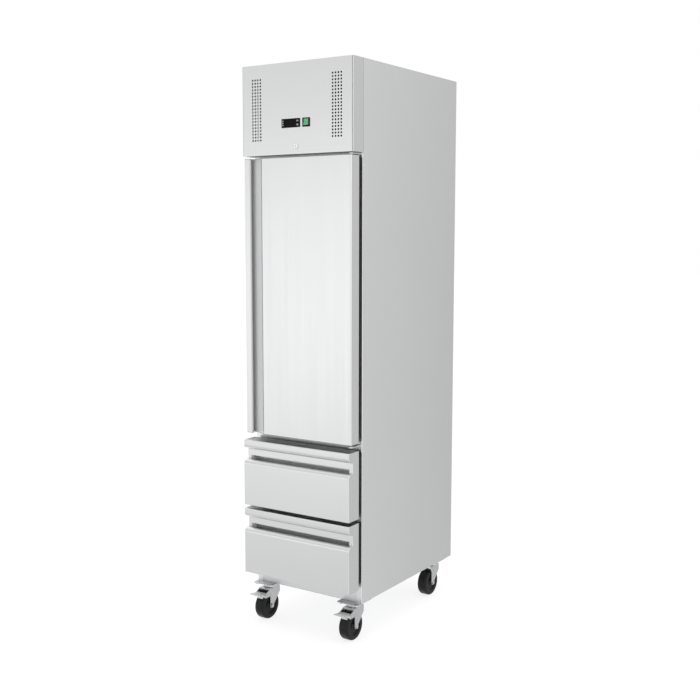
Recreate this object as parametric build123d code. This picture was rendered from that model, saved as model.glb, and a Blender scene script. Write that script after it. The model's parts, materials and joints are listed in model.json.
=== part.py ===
from build123d import *
import math
import os

# Slim upright catering refrigerator: one door above two drawers, cooling unit behind the header.
# Millimetres. X runs to the right, Y to the back, Z up. The origin is on the floor, under the
# middle of the cabinet's outline.

# Carcass
CABINET_W = 460.0
CABINET_H = 1980.0
CARCASS_D = 650.0
CARCASS_BOTTOM = 135.0
SHEET = 1.0
LINER_SHEET = 0.8
BASE_SHEET = 2.0
EDGE_RADIUS = 4.0
SIDE_RETURN_W = 22.0
SIDE_WALL = 55.0
BACK_WALL = 60.0
ROOF_WALL = 60.0
DECK_ABOVE_HEADER_BOTTOM = 15.0
FRAME_D = 30.0
FRAME_SHEET = 1.2
FRAME_LAND = 4.0
FLOOR_AIR_GAP = 45.0
FLOOR_LIP = 15.0

# Header
HEADER_H = 305.0
HEADER_PROUD = 62.0
HEADER_LIP = 15.0
VENT_HOLE_D = 6.6
VENT_COLUMNS = 4
VENT_ROWS = 20
VENT_COLUMN_PITCH = 11.3
VENT_ROW_PITCH = 10.7
VENT_CENTRE_FROM_SIDE = 63.0
VENT_CENTRE_BELOW_TOP = 151.5
CONTROL_BELOW_TOP = 201.5

# Slots in the rear cover and the roof
REAR_SLOT_L = 46.0
REAR_SLOT_W = 5.0
REAR_SLOT_ROWS = 3
REAR_SLOT_PITCH = 14.0
REAR_SLOT_ROW_PITCH = 62.0
REAR_SLOT_FROM_SIDE = 90.0
ROOF_SLOT_W = 6.0
ROOF_SLOT_ROWS = 10
ROOF_SLOT_PITCH = 18.0
ROOF_SLOT_FROM_SIDE = 95.0
ROOF_SLOT_BRIDGE = 30.0
ROOF_SLOT_FROM_BACK = 200.0

# Door and drawer fronts: the door takes the height that the header and the drawers leave
DOOR_SIDE_GAP = 6.0
DOOR_PROUD = 62.0
DOOR_TOP_GAP = 9.0
DRAWER_SIDE_GAP = 4.0
DRAWER_H = 238.0
DRAWER_PROUD = 78.0
DRAWER_ABOVE_CARCASS_BOTTOM = 52.0
DOOR_DRAWER_GAP = 24.0
DRAWER_GAP = 13.0
SEAL_GAP = 16.0
GASKET_W = 20.0
GASKET_INSET = 12.0
SEAL_CLEARANCE = 0.3
CAP_SHEET = 1.5
SEAM = 2.0
SEAM_FOLD = 10.0
PAN_RISE = 9.0
PAN_CLEARANCE = 4.0

# Door handle profile: a grip strip, then a hollow groove that runs up to the flat panel
STRIP_W = 27.0
STRIP_T = 7.0
STRIP_RADIUS = 3.0
STRIP_UNDERCUT = 2.0
GROOVE_W = 48.0
GROOVE_D = 20.5
GROOVE_START_D = 19.0
GROOVE_END_D = 1.5
GROOVE_LOW_X = 2.0
POCKET_BEHIND_STRIP = 13.0
HANDLE_SHEET = 1.2

# Drawer grip: a lip, a neck behind it, a slot under the neck and a sloping ledge
DRAWER_SHEET = 1.2
LIP_H = 30.0
LIP_SLOPE_H = 4.0
LIP_EDGE_RADIUS = 4.0
LIP_RADIUS = 13.0
NECK_D = 24.0
NECK_H = 25.0
SLOT_H = 13.0
LEDGE_RADIUS = 16.0
FINGER_POCKET_D = 57.0
FINGER_POCKET_RISE = 28.0
GRIP_END = 12.0
GRIP_TAPER = 15.0

# Hinges
PIN_D = 10.0
PIN_LENGTH = 20.0
PIN_INSET = 12.0
PIN_DEPTH = 17.0
BUSH_D = 18.0
BUSH_WALL_BEHIND_PIN = 4.0
RUNNING_FIT = 0.05
HINGE_PLATE_T = 4.0
HINGE_PLATE_MARGIN = 1.0
HINGE_UPPER_LIFT = 2.0
HINGE_LOWER_DROP = 6.0
HINGE_FLANGE_T = 3.0
HINGE_FLANGE_W = 34.0
HINGE_FLANGE_H = 30.0
HINGE_FLANGE_GAP = 4.0

# Lock in the header
LOCK_ABOVE_HEADER_BOTTOM = 27.0
LOCK_BODY_D = 19.0
LOCK_FLANGE_D = 22.0
LOCK_FLANGE_T = 1.5
LOCK_PLUG_D = 12.0
LOCK_BODY_L = 24.0
LOCK_CAM_L = 41.0
LOCK_CAM_W = 14.0
LOCK_CAM_T = 3.0
LOCK_SLOT_CLEARANCE = 2.0
KEYWAY_W = 2.2
KEYWAY_H = 7.5
KEYWAY_D = 9.0

# Controller and switch
CONTROLLER_W = 76.0
CONTROLLER_H = 30.0
CONTROLLER_X = -21.0
CONTROLLER_D = 58.0
WINDOW_W = 44.0
WINDOW_H = 22.0
WINDOW_D = 1.0
BEZEL_T = 3.0
BEZEL_LAND = 2.0
KEY_W = 7.0
KEY_H = 5.0
KEY_D = 6.0
KEY_SPACING = 13.0
KEY_FROM_END = 8.0
KEY_TRAVEL = 0.8
KEY_PROUD = 1.2
KEY_CLEARANCE = 0.3
SWITCH_W = 30.0
SWITCH_X = 43.0
SWITCH_D = 28.0
ROCKER_W = 20.0
ROCKER_H = 22.0
ROCKER_PROUD = 5.0
ROCKER_DIP = 1.6
ROCKER_PIVOT_DEPTH = 2.0
ROCKER_PIN_D = 3.0
ROCKER_SWING = 16.0

# Drawer boxes and their telescopic rails
BOX_HEADROOM = 18.0
BOX_FROM_BACK = 66.0
BOX_SHEET = 1.2
RAIL_H = 38.0
RAIL_SHEET = 1.5
RAIL_FLANGE = 7.6
RAIL_CLEARANCE = 0.4
RAIL_FROM_BACK = 40.0
RAIL_MID_SHORTER = 70.0
RAIL_SPACE = 13.0

# Shelves and racks
SHELVES = 3
SHELF_SIDE_GAP = 15.5
SHELF_FRAME_D = 7.0
SHELF_CORNER = 12.0
SHELF_WIRE_D = 4.0
SHELF_WIRES = 17
SHELF_BRACES = 2
SHELF_FROM_FRAME = 22.0
SHELF_FROM_BACK = 38.0
RUNNER_FOOT = 20.0
RUNNER_SHEET = 1.5
RUNNER_RISE = 14.0
RUNNER_END = 2.0
UPRIGHT_W = 26.0
UPRIGHT_T = 8.0
UPRIGHT_LIFT = 24.0
UPRIGHT_BELOW_HOOD = 105.0
UPRIGHT_SHEET = 1.2
UPRIGHT_INSET = 60.0
UPRIGHT_SLOT_W = 10.0
UPRIGHT_SLOT_H = 18.0
UPRIGHT_SLOT_PITCH = 50.0

# Evaporator group under the ceiling
EVAP_SIDE_GAP = 12.0
EVAP_H = 165.0
EVAP_D = 330.0
EVAP_SHEET = 1.0
EVAP_BACK_GAP = 20.0
EVAP_COIL_END_GAP = 30.0
EVAP_COIL_D = 110.0
EVAP_COIL_CLEARANCE = 6.0
EVAP_COIL_ROWS = 5
EVAP_FAN_D = 130.0
EVAP_FAN_HUB_D = 34.0
EVAP_FAN_HUB_L = 18.0
EVAP_FAN_SETBACK = 16.0
EVAP_MOTOR_D = 60.0
EVAP_MOTOR_L = 46.0
EVAP_SHAFT_D = 6.0
EVAP_RING_D = 14.0
GUARD_WIRE_D = 2.0
GUARD_RINGS = 4
STRAP_W = 28.0
STRAP_T = 3.0
STRAP_FOOT_W = 60.0
STRAP_FOOT_D = 24.0

# Cooling unit on the deck
DECK_SHEET = 1.5
CONDENSER_FROM_SIDE = 80.0
CONDENSER_H = 220.0
CONDENSER_D = 66.0
CONDENSER_ROWS = 8
CONDENSER_FROM_FRONT = 45.0
COIL_PLATE = 1.5
COIL_OVERHANG = 4.0
COIL_TUBE_PITCH = 25.0
CONDENSER_FAN_D = 190.0
CONDENSER_FAN_HUB_D = 50.0
CONDENSER_FAN_HUB_L = 24.0
FAN_BLADES = 5
FAN_BLADE_T = 1.5
FAN_BLADE_SHARE = 0.31
FAN_BLADE_ANGLE = 32.0
FAN_TIP_GAP = 5.0
SHROUD_D = 34.0
SHROUD_SHEET = 1.2
FAN_BEHIND_SHROUD_PLATE = 26.0
MOTOR_BEHIND_FAN = 22.0
MOTOR_D = 76.0
MOTOR_L = 48.0
SHAFT_D = 8.0
SHAFT_TIP = 2.0
MOTOR_ARM_W = 14.0
MOTOR_ARM_T = 3.0
COMPRESSOR_D = 150.0
COMPRESSOR_H = 178.0
COMPRESSOR_FROM_SIDE = 142.0
COMPRESSOR_FROM_BACK = 170.0
COMPRESSOR_FOOT_H = 18.0
COMPRESSOR_WELD_H = 72.0
COMPRESSOR_RIM = 4.0
COMPRESSOR_RIM_H = 5.0
FOOT_STRIP_L = 172.0
FOOT_STRIP_W = 34.0
FOOT_STRIP_T = 4.0
FOOT_STRIP_SPACING = 108.0
RUBBER_FOOT_D = 24.0
FOOT_BOLT_D = 9.0
TERMINAL_W = 48.0
TERMINAL_D = 26.0
TERMINAL_H = 44.0
PIPE_D = 6.0
PIPE_BEND = 11.0
PIPE_CLEARANCE = 0.3
PIPE_OUTSIDE_COIL = 30.0
DRIER_D = 22.0
DRIER_L = 90.0
SUCTION_H = 118.0
DISCHARGE_H = 112.0

# Junction box and cable gland
JUNCTION_W = 110.0
JUNCTION_D = 70.0
JUNCTION_H = 86.0
JUNCTION_WALL = 2.5
JUNCTION_FROM_BACK = 7.0
GLAND_OUTER_D = 20.0
GLAND_BORE_D = 10.0
GLAND_HOLE_CLEARANCE = 0.4
GLAND_FROM_SIDE = 80.0
GLAND_ABOVE_DECK = 60.0

# Casters
WHEEL_D = 100.0
WHEEL_W = 38.0
WHEEL_SHOULDER = 4.5
WHEEL_DISH_D = 62.0
WHEEL_DISH_DEPTH = 5.0
WHEEL_HUB_D = 22.0
AXLE_D = 10.0
AXLE_TIP = 1.0
NUT_ACROSS = 8.0
NUT_T = 4.0
CASTER_FROM_SIDE = 45.0
CASTER_FRONT_INSET = 20.0
CASTER_BACK_INSET = 82.0
CASTER_TRAIL = 24.0
CASTER_PLATE_W = 85.0
CASTER_PLATE_D = 100.0
CASTER_PLATE_T = 3.0
CASTER_PLATE_CORNER = 6.0
CASTER_RACE_D = 62.0
CASTER_RACE_NARROW_D = 50.0
CASTER_RACE_H = 8.0
BOLT_D = 8.0
BOLT_HEAD_R = 7.0
BOLT_HEAD_H = 5.0
BOLT_INSET = 12.0
BOLT_SLOT_L = 15.0
FORK_T = 2.5
FORK_CLEARANCE = 2.0
FORK_CROWN_D = 56.0
FORK_CROWN_H = 9.0
FORK_BACK_INSET = 4.0
FORK_FRONT_REACH = 40.0
FORK_SHOULDER = 6.0
FORK_WAIST = 22.0
BOSS_R = 9.0
RIVET_AHEAD_OF_AXLE = 36.0
RIVET_ABOVE_AXLE = 45.0
RIVET_D = 7.0
RIVET_HEAD = 2.0
EAR_R = 8.0
PEDAL_W = 46.0
PEDAL_T = 2.5
PEDAL_RISE = 4.0
PEDAL_INSIDE_DRAWER = 1.0
PEDAL_SHOE_W = 24.0
PEDAL_CHEEK_R = 6.5
PEDAL_SHOE_BACK = 2.0
PEDAL_SHOE_CLEARANCE = 1.0

# Levels and planes of the carcass
FRONT = DRAWER_PROUD - (CARCASS_D + DRAWER_PROUD) / 2
BACK = FRONT + CARCASS_D
HALF_W = CABINET_W / 2
INNER_HALF = HALF_W - SIDE_WALL
INNER_BACK = BACK - BACK_WALL
FRAME_BACK = FRONT + FRAME_D
BASE_TOP = CARCASS_BOTTOM + BASE_SHEET
HEADER_BOTTOM = CABINET_H - HEADER_H
HEADER_FRONT = FRONT - HEADER_PROUD
DECK = HEADER_BOTTOM + DECK_ABOVE_HEADER_BOTTOM
CEILING = DECK - ROOF_WALL

# Door, drawers and the openings behind them
DRAWER_W = CABINET_W - 2 * DRAWER_SIDE_GAP
DRAWER_FRONT = FRONT - DRAWER_PROUD
DRAWER_TOP_2 = CARCASS_BOTTOM + DRAWER_ABOVE_CARCASS_BOTTOM + DRAWER_H
DRAWER_TOP_1 = DRAWER_TOP_2 + DRAWER_GAP + DRAWER_H
DOOR_W = CABINET_W - 2 * DOOR_SIDE_GAP
DOOR_BOTTOM = DRAWER_TOP_1 + DOOR_DRAWER_GAP
DOOR_TOP = HEADER_BOTTOM - DOOR_TOP_GAP
DOOR_FRONT = FRONT - DOOR_PROUD
DOOR_LEFT = -DOOR_W / 2
DOOR_RIGHT = DOOR_W / 2
DOOR_BODY_Z = (DOOR_BOTTOM + CAP_SHEET, DOOR_TOP - CAP_SHEET)
SEAL_BACK = FRONT - SEAL_GAP
DOOR_SHEET_BACK = SEAL_BACK - SHEET
HANDLE_RIGHT = DOOR_LEFT + STRIP_W + GROOVE_W
PANEL_LEFT = HANDLE_RIGHT + SEAM
SEAL_MARGIN = GASKET_INSET + GASKET_W + FRAME_LAND
MULLION = (DRAWER_TOP_1 - SEAL_MARGIN, DOOR_BOTTOM + SEAL_MARGIN)
CROSSBAR = (DRAWER_TOP_2 - SEAL_MARGIN, DRAWER_TOP_1 - DRAWER_H + SEAL_MARGIN)
INNER_FLOOR = DRAWER_TOP_2 - DRAWER_H + SEAL_MARGIN
OPENING_1 = (CROSSBAR[1], MULLION[0])
OPENING_2 = (INNER_FLOOR, CROSSBAR[0])

# Hinges and lock
PIN_X = DOOR_RIGHT - PIN_INSET
PIN_Y = DOOR_FRONT + PIN_DEPTH
BUSH_L = PIN_LENGTH + BUSH_WALL_BEHIND_PIN
UPPER_PLATE_Z = DOOR_TOP + HINGE_UPPER_LIFT
LOWER_PLATE_Z = DOOR_BOTTOM - HINGE_LOWER_DROP
UPPER_BUSH_Z = (DOOR_TOP - BUSH_L, UPPER_PLATE_Z - SEAL_CLEARANCE)
LOWER_BUSH_Z = (LOWER_PLATE_Z + SEAL_CLEARANCE, DOOR_BOTTOM + BUSH_L)
UPPER_FLANGE_TOP = UPPER_PLATE_Z + HINGE_FLANGE_H
LOCK_Z = HEADER_BOTTOM + LOCK_ABOVE_HEADER_BOTTOM
LOCK_FACE = HEADER_FRONT - LOCK_FLANGE_T
LOCK_BACK = LOCK_FACE + LOCK_BODY_L
LOCK_CAM_Y = (LOCK_BACK + SEAL_CLEARANCE, LOCK_BACK + SEAL_CLEARANCE + LOCK_CAM_T)

# Controller and switch
CONTROL_Z = CABINET_H - CONTROL_BELOW_TOP
PANEL_FACE = HEADER_FRONT - BEZEL_T
KEY_X = CONTROLLER_X + CONTROLLER_W / 2 - KEY_FROM_END
ROCKER_PIVOT_Y = HEADER_FRONT + ROCKER_PIVOT_DEPTH
ROCKER_POCKET = math.hypot(ROCKER_H / 2, ROCKER_PROUD) + KEY_CLEARANCE

# Drawer boxes and rails
BOX_OUTER = INNER_HALF - RAIL_SPACE
BOX_H = OPENING_1[1] - OPENING_1[0] - 2 * BOX_HEADROOM
BOX_BACK = INNER_BACK - BOX_FROM_BACK
RAIL_FRONT = FRAME_BACK
RAIL_L = INNER_BACK - RAIL_FROM_BACK - RAIL_FRONT
RAIL_MID_L = RAIL_L - RAIL_MID_SHORTER
RAIL_STEP = RAIL_SHEET + RAIL_CLEARANCE
MID_RAIL_H = RAIL_H - 2 * RAIL_STEP
MOVING_RAIL_H = MID_RAIL_H - 2 * RAIL_STEP

# Evaporator group
EVAP_W = 2 * (INNER_HALF - EVAP_SIDE_GAP)
EVAP_COIL_W = EVAP_W - 2 * EVAP_COIL_END_GAP
EVAP_FRONT = INNER_BACK - EVAP_D
EVAP_BOTTOM = CEILING - EVAP_H
EVAP_FAN_Y = EVAP_FRONT + EVAP_FAN_SETBACK
EVAP_FAN_Z = (EVAP_BOTTOM + CEILING) / 2
EVAP_COIL_BACK = INNER_BACK - EVAP_BACK_GAP - EVAP_COIL_CLEARANCE
EVAP_COIL_Y = (EVAP_COIL_BACK - EVAP_COIL_D, EVAP_COIL_BACK)
EVAP_COIL_Z = (EVAP_BOTTOM + EVAP_SHEET + EVAP_COIL_CLEARANCE, CEILING)
EVAP_TUBE_Y = (EVAP_COIL_Y[0] + EVAP_COIL_Y[1]) / 2
EVAP_TUBE_Z = (EVAP_COIL_Z[1] - EVAP_COIL_Z[0]) / EVAP_COIL_ROWS

# Shelves, evenly spread between the compartment's floor and the evaporator's hood
SHELF_W = 2 * (INNER_HALF - SHELF_SIDE_GAP)
SHELF_Y = (FRAME_BACK + SHELF_FROM_FRAME, INNER_BACK - SHELF_FROM_BACK)
SHELF_PITCH = (EVAP_BOTTOM - MULLION[1]) / (SHELVES + 1)
SHELF_LEVELS = [MULLION[1] + SHELF_PITCH * (index + 1) for index in range(SHELVES)]
UPRIGHT_Z = (MULLION[1] + UPRIGHT_LIFT, EVAP_BOTTOM - UPRIGHT_BELOW_HOOD)

# Cooling unit
UNIT_FLOOR = DECK + DECK_SHEET
CONDENSER_W = CABINET_W - 2 * CONDENSER_FROM_SIDE
CONDENSER_FRONT = FRONT + CONDENSER_FROM_FRONT
CONDENSER_Y = (CONDENSER_FRONT, CONDENSER_FRONT + CONDENSER_D)
CONDENSER_Z = (UNIT_FLOOR, UNIT_FLOOR + CONDENSER_H)
CONDENSER_MID_Y = (CONDENSER_Y[0] + CONDENSER_Y[1]) / 2
CONDENSER_MID_Z = (CONDENSER_Z[0] + CONDENSER_Z[1]) / 2
CONDENSER_END = CONDENSER_W / 2 + COIL_PLATE
CONDENSER_ROW = CONDENSER_H / CONDENSER_ROWS
SHROUD_Y = CONDENSER_Y[1] + COIL_OVERHANG
BLADE_Y = SHROUD_Y + FAN_BEHIND_SHROUD_PLATE
MOTOR_Y = BLADE_Y + MOTOR_BEHIND_FAN
COMPRESSOR_X = HALF_W - COMPRESSOR_FROM_SIDE
COMPRESSOR_Y = BACK - COMPRESSOR_FROM_BACK
PIPE_X = CONDENSER_END + PIPE_OUTSIDE_COIL
EVAP_PIPE_X = -(EVAP_COIL_W / 2 + COIL_PLATE + PIPE_BEND + PIPE_D)
LIQUID_Y = EVAP_TUBE_Y - COIL_TUBE_PITCH / 2
SUCTION_Y = EVAP_TUBE_Y + COIL_TUBE_PITCH / 2
GLAND_X = GLAND_FROM_SIDE - HALF_W
GLAND_Z = DECK + GLAND_ABOVE_DECK
JUNCTION_BACK = BACK - JUNCTION_FROM_BACK

# Casters
CASTER_X = HALF_W - CASTER_FROM_SIDE
CASTER_FRONT_Y = FRONT + CASTER_FRONT_INSET
CASTER_BACK_Y = BACK - CASTER_BACK_INSET
PLATE_BOTTOM = CARCASS_BOTTOM - CASTER_PLATE_T
CROWN_TOP = PLATE_BOTTOM - CASTER_RACE_H - SEAL_CLEARANCE
CROWN_BOTTOM = CROWN_TOP - FORK_CROWN_H
AXLE_Y = -CASTER_TRAIL
AXLE_Z = WHEEL_D / 2
LEG_X = WHEEL_W / 2 + FORK_CLEARANCE
LEG_OUTER_X = LEG_X + FORK_T
RIVET_Y = AXLE_Y - RIVET_AHEAD_OF_AXLE
RIVET_Z = AXLE_Z + RIVET_ABOVE_AXLE
PEDAL_TIP_Y = DRAWER_FRONT - CASTER_FRONT_Y + PEDAL_INSIDE_DRAWER


def block(x, y, z):
    """A box between the two values of each axis."""
    size = (x[1] - x[0], y[1] - y[0], z[1] - z[0])
    centre = ((x[0] + x[1]) / 2, (y[0] + y[1]) / 2, (z[0] + z[1]) / 2)
    return Pos(*centre) * Box(*size)


def centred(middle, size):
    """The two ends of a span of this size about its middle."""
    return (middle - size / 2, middle + size / 2)


def wall_at(side, inner, outer):
    """The X span of a wall on the left (-1) or the right (1)."""
    return tuple(sorted((side * inner, side * outer)))


def round_bar(diameter, start, end):
    """A straight round bar from one point to another."""
    line = Vector(*end) - Vector(*start)
    return extrude(Plane(origin=start, z_dir=line) * Circle(diameter / 2), line.length)


def bar_x(diameter, x, y, z):
    return round_bar(diameter, (x[0], y, z), (x[1], y, z))


def bar_y(diameter, x, y, z):
    return round_bar(diameter, (x, y[0], z), (x, y[1], z))


def bar_z(diameter, x, y, z):
    return round_bar(diameter, (x, y, z[0]), (x, y, z[1]))


def rounded(face, corners, radius):
    """The flat face with the corner nearest to each given point rounded off."""
    for corner in corners:
        nearest = face.vertices().sort_by_distance(Vector(*corner))[0]
        face = fillet([nearest], radius)
    return face


def folded(face, outer, inner):
    """The sheet profile with a fold rounded outside and inside."""
    return rounded(rounded(face, outer, EDGE_RADIUS), inner, EDGE_RADIUS - SHEET)


def prism_x(face, x):
    """A face drawn as (y, z), carried from the first to the second X."""
    return extrude(Plane.YZ.offset(x[0]) * face, x[1] - x[0])


def outline(points):
    """The face inside straight lines through the points."""
    return make_face(Polyline(*points, close=True))


def mirrored(shape):
    """The shape on the other side of the cabinet's middle plane."""
    return mirror(shape, about=Plane.YZ)


def repeated(plane, spots, shape, depth):
    """The flat shape drawn out along the plane's normal at each spot on the plane."""
    return [extrude(plane * spot * shape, depth) for spot in spots]


def group(shapes):
    """Separate solids kept together under one name."""
    return Compound(children=[solid for shape in shapes for solid in shape.solids()])


def side_panel():
    """Right outer side: one sheet with a front return, rounded at the front edge."""
    face = outline(
        [
            (HALF_W, BACK),
            (HALF_W, FRONT),
            (HALF_W - SIDE_RETURN_W, FRONT),
            (HALF_W - SIDE_RETURN_W, FRONT + SHEET),
            (HALF_W - SHEET, FRONT + SHEET),
            (HALF_W - SHEET, BACK),
        ]
    )
    face = folded(face, [(HALF_W, FRONT)], [(HALF_W - SHEET, FRONT + SHEET)])
    panel = extrude(Pos(0, 0, CARCASS_BOTTOM) * face, CABINET_H - CARCASS_BOTTOM)
    roof_edge = block(
        (HALF_W - SIDE_RETURN_W, HALF_W - SHEET),
        (FRONT, FRONT + EDGE_RADIUS),
        (CABINET_H - SHEET, CABINET_H),
    )
    return panel - roof_edge


def back_panel():
    x = centred(0, CABINET_W - 2 * SHEET)
    return block(x, (BACK - SHEET, BACK), (CARCASS_BOTTOM, DECK))


def gland_bar(diameter, y):
    return bar_y(diameter, GLAND_X, y, GLAND_Z)


def rear_grille():
    """Rear cover of the machine compartment, with rows of upright slots and a cable hole."""
    x = centred(0, CABINET_W - 2 * SHEET)
    cover = block(x, (BACK - SHEET, BACK), (DECK, CABINET_H - SHEET))
    centre = (0, BACK - 2 * SHEET, (DECK + CABINET_H) / 2 + REAR_SLOT_L / 2)
    plane = Plane(origin=centre, x_dir=(1, 0, 0), z_dir=(0, 1, 0))
    columns = int((CABINET_W - 2 * REAR_SLOT_FROM_SIDE) // REAR_SLOT_PITCH)
    spots = GridLocations(REAR_SLOT_PITCH, REAR_SLOT_ROW_PITCH, columns, REAR_SLOT_ROWS)
    cover -= repeated(plane, spots, SlotOverall(REAR_SLOT_L, REAR_SLOT_W, rotation=90), 3 * SHEET)
    return cover - gland_bar(GLAND_OUTER_D + 2 * GLAND_HOLE_CLEARANCE, (BACK - 2 * SHEET, BACK + SHEET))


def top_cover():
    """Roof sheet of the machine compartment, slotted over the compressor."""
    x = centred(0, CABINET_W - 2 * SHEET)
    cover = block(x, (FRONT, BACK), (CABINET_H - SHEET, CABINET_H))
    plane = Plane(origin=(0, BACK - ROOF_SLOT_FROM_BACK, CABINET_H - 2 * SHEET))
    length = HALF_W - ROOF_SLOT_FROM_SIDE - ROOF_SLOT_BRIDGE / 2
    spots = GridLocations(length + ROOF_SLOT_BRIDGE, ROOF_SLOT_PITCH, 2, ROOF_SLOT_ROWS)
    return cover - repeated(plane, spots, SlotOverall(length, ROOF_SLOT_W), 3 * SHEET)


def base_panel():
    x = centred(0, CABINET_W - 2 * SHEET)
    base = block(x, (FRONT + SHEET, BACK - SHEET), (CARCASS_BOTTOM, BASE_TOP))
    corners = base.edges().filter_by(Axis.Z).group_by(Axis.Y)[0]
    return fillet(corners, EDGE_RADIUS - SHEET)


def front_frame():
    """Box-section posts and rails, and the two crossbars that the gaskets close against."""
    sheet = FRAME_SHEET
    y = (FRONT, FRAME_BACK)
    hollow_y = (y[0] + sheet, y[1] - sheet)
    x = (INNER_HALF, HALF_W - SIDE_RETURN_W)
    post = block(x, y, (BASE_TOP, DECK))
    post -= block((x[0] + sheet, x[1] - sheet), hollow_y, (BASE_TOP, DECK))
    bars = []
    for span in ((BASE_TOP, INNER_FLOOR), CROSSBAR, MULLION, (CEILING, DECK)):
        bar = block((-x[0], x[0]), y, span)
        bars.append(bar - block((-x[0], x[0]), hollow_y, (span[0] + sheet, span[1] - sheet)))
    return group([post, mirrored(post)] + bars)


def pipe_holes(z):
    """Holes for the two refrigerant pipes that pass through the roof of the cold space."""
    hole = PIPE_D + 2 * PIPE_CLEARANCE
    return bar_z(hole, EVAP_PIPE_X, LIQUID_Y, z) + bar_z(hole, EVAP_PIPE_X, SUCTION_Y, z)


def inner_liner():
    """Lining sheets of the cold space: two sides, back, ceiling and floor."""
    outer = INNER_HALF + LINER_SHEET
    y = (FRAME_BACK, INNER_BACK)
    side = block((INNER_HALF, outer), y, (INNER_FLOOR, CEILING))
    back_z = (INNER_FLOOR - LINER_SHEET, CEILING + LINER_SHEET)
    back = block((-outer, outer), (INNER_BACK, INNER_BACK + LINER_SHEET), back_z)
    ceiling = block((-outer, outer), y, (CEILING, CEILING + LINER_SHEET))
    floor = block((-outer, outer), y, (INNER_FLOOR - LINER_SHEET, INNER_FLOOR))
    ceiling -= pipe_holes((CEILING - SHEET, CEILING + 2 * SHEET))
    return group([side, mirrored(side), back, ceiling, floor])


def wall_insulation():
    """Foam between the outer sheets and the liner, as five slabs."""
    outer = HALF_W - SHEET
    inner = INNER_HALF + LINER_SHEET
    back_y = INNER_BACK + LINER_SHEET
    side = block((inner, outer), (FRAME_BACK, BACK - SHEET), (BASE_TOP, DECK))
    back = block((-inner, inner), (back_y, BACK - SHEET), (BASE_TOP, DECK))
    roof = block((-inner, inner), (FRAME_BACK, back_y), (CEILING + LINER_SHEET, DECK))
    roof -= pipe_holes((CEILING, DECK + SHEET))
    floor = block((-inner, inner), (FRAME_BACK, back_y), (BASE_TOP, INNER_FLOOR - LINER_SHEET))
    return group([side, mirrored(side), back, roof, floor])


def compartment_floor():
    """Sheet under the door compartment; cold air returns through the gap behind it."""
    sheet = FRAME_SHEET
    y = (FRAME_BACK, INNER_BACK - FLOOR_AIR_GAP)
    x = (-INNER_HALF, INNER_HALF)
    top = MULLION[1]
    return block(x, y, (top - sheet, top)) + block(x, (y[1] - sheet, y[1]), (top, top + FLOOR_LIP))


def header_fascia():
    """Folded front of the machine compartment, pierced for air, controls and lock."""
    inner_x = (-HALF_W + SHEET, HALF_W - SHEET)
    face = outline(
        [
            (-HALF_W, FRONT),
            (-HALF_W, HEADER_FRONT),
            (HALF_W, HEADER_FRONT),
            (HALF_W, FRONT),
            (inner_x[1], FRONT),
            (inner_x[1], HEADER_FRONT + SHEET),
            (inner_x[0], HEADER_FRONT + SHEET),
            (inner_x[0], FRONT),
        ]
    )
    corners = [(-HALF_W, HEADER_FRONT), (HALF_W, HEADER_FRONT)]
    face = folded(face, corners, [(x, HEADER_FRONT + SHEET) for x in inner_x])
    shell = extrude(Pos(0, 0, HEADER_BOTTOM) * face, HEADER_H)
    behind = HEADER_FRONT + SHEET
    shell += block(inner_x, (behind, FRONT), (CABINET_H - SHEET, CABINET_H))
    shell += block(inner_x, (behind, HEADER_FRONT + HEADER_LIP), (HEADER_BOTTOM, HEADER_BOTTOM + SHEET))
    for side in (-1, 1):
        flange_x = wall_at(side, HALF_W - HEADER_LIP, HALF_W - SHEET)
        flange_z = (UPPER_FLANGE_TOP + SHEET, CABINET_H - SHEET)
        shell += block(flange_x, (FRONT - SHEET, FRONT), flange_z)
    return shell - header_openings()


def header_openings():
    """Everything that is cut out of the fascia's front face."""
    y = (HEADER_FRONT - SHEET, HEADER_FRONT + 2 * SHEET)
    cut = []
    for side in (-1, 1):
        centre_x = side * (HALF_W - VENT_CENTRE_FROM_SIDE)
        centre = (centre_x, y[0], CABINET_H - VENT_CENTRE_BELOW_TOP)
        plane = Plane(origin=centre, x_dir=(1, 0, 0), z_dir=(0, 1, 0))
        spots = GridLocations(VENT_COLUMN_PITCH, VENT_ROW_PITCH, VENT_COLUMNS, VENT_ROWS)
        cut += repeated(plane, spots, Circle(VENT_HOLE_D / 2), y[1] - y[0])
    z = centred(CONTROL_Z, CONTROLLER_H - 2 * BEZEL_LAND)
    for x, width in ((CONTROLLER_X, CONTROLLER_W), (SWITCH_X, SWITCH_W)):
        cut.append(block(centred(x, width - 2 * BEZEL_LAND), y, z))
    cut.append(bar_y(LOCK_BODY_D, 0, y, LOCK_Z))
    return cut


def panel_unit(x, width, depth):
    """A bezel that lies on the fascia, with its case through the cut-out."""
    bezel = block(centred(x, width), (PANEL_FACE, HEADER_FRONT), centred(CONTROL_Z, CONTROLLER_H))
    bezel = chamfer(bezel.faces().sort_by(Axis.Y)[0].edges(), SHEET)
    case_x = centred(x, width - 2 * BEZEL_LAND)
    case_z = centred(CONTROL_Z, CONTROLLER_H - 2 * BEZEL_LAND)
    return bezel + block(case_x, (HEADER_FRONT, PANEL_FACE + depth), case_z)


def key_middle_z(side):
    return CONTROL_Z + side * KEY_SPACING / 2


def key_pocket(side):
    """Space that one key slides in, open to the front of the bezel."""
    x = centred(KEY_X, KEY_W + 2 * KEY_CLEARANCE)
    z = centred(key_middle_z(side), KEY_H + 2 * KEY_CLEARANCE)
    return block(x, (PANEL_FACE - SHEET, PANEL_FACE + KEY_D + KEY_TRAVEL), z)


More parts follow.
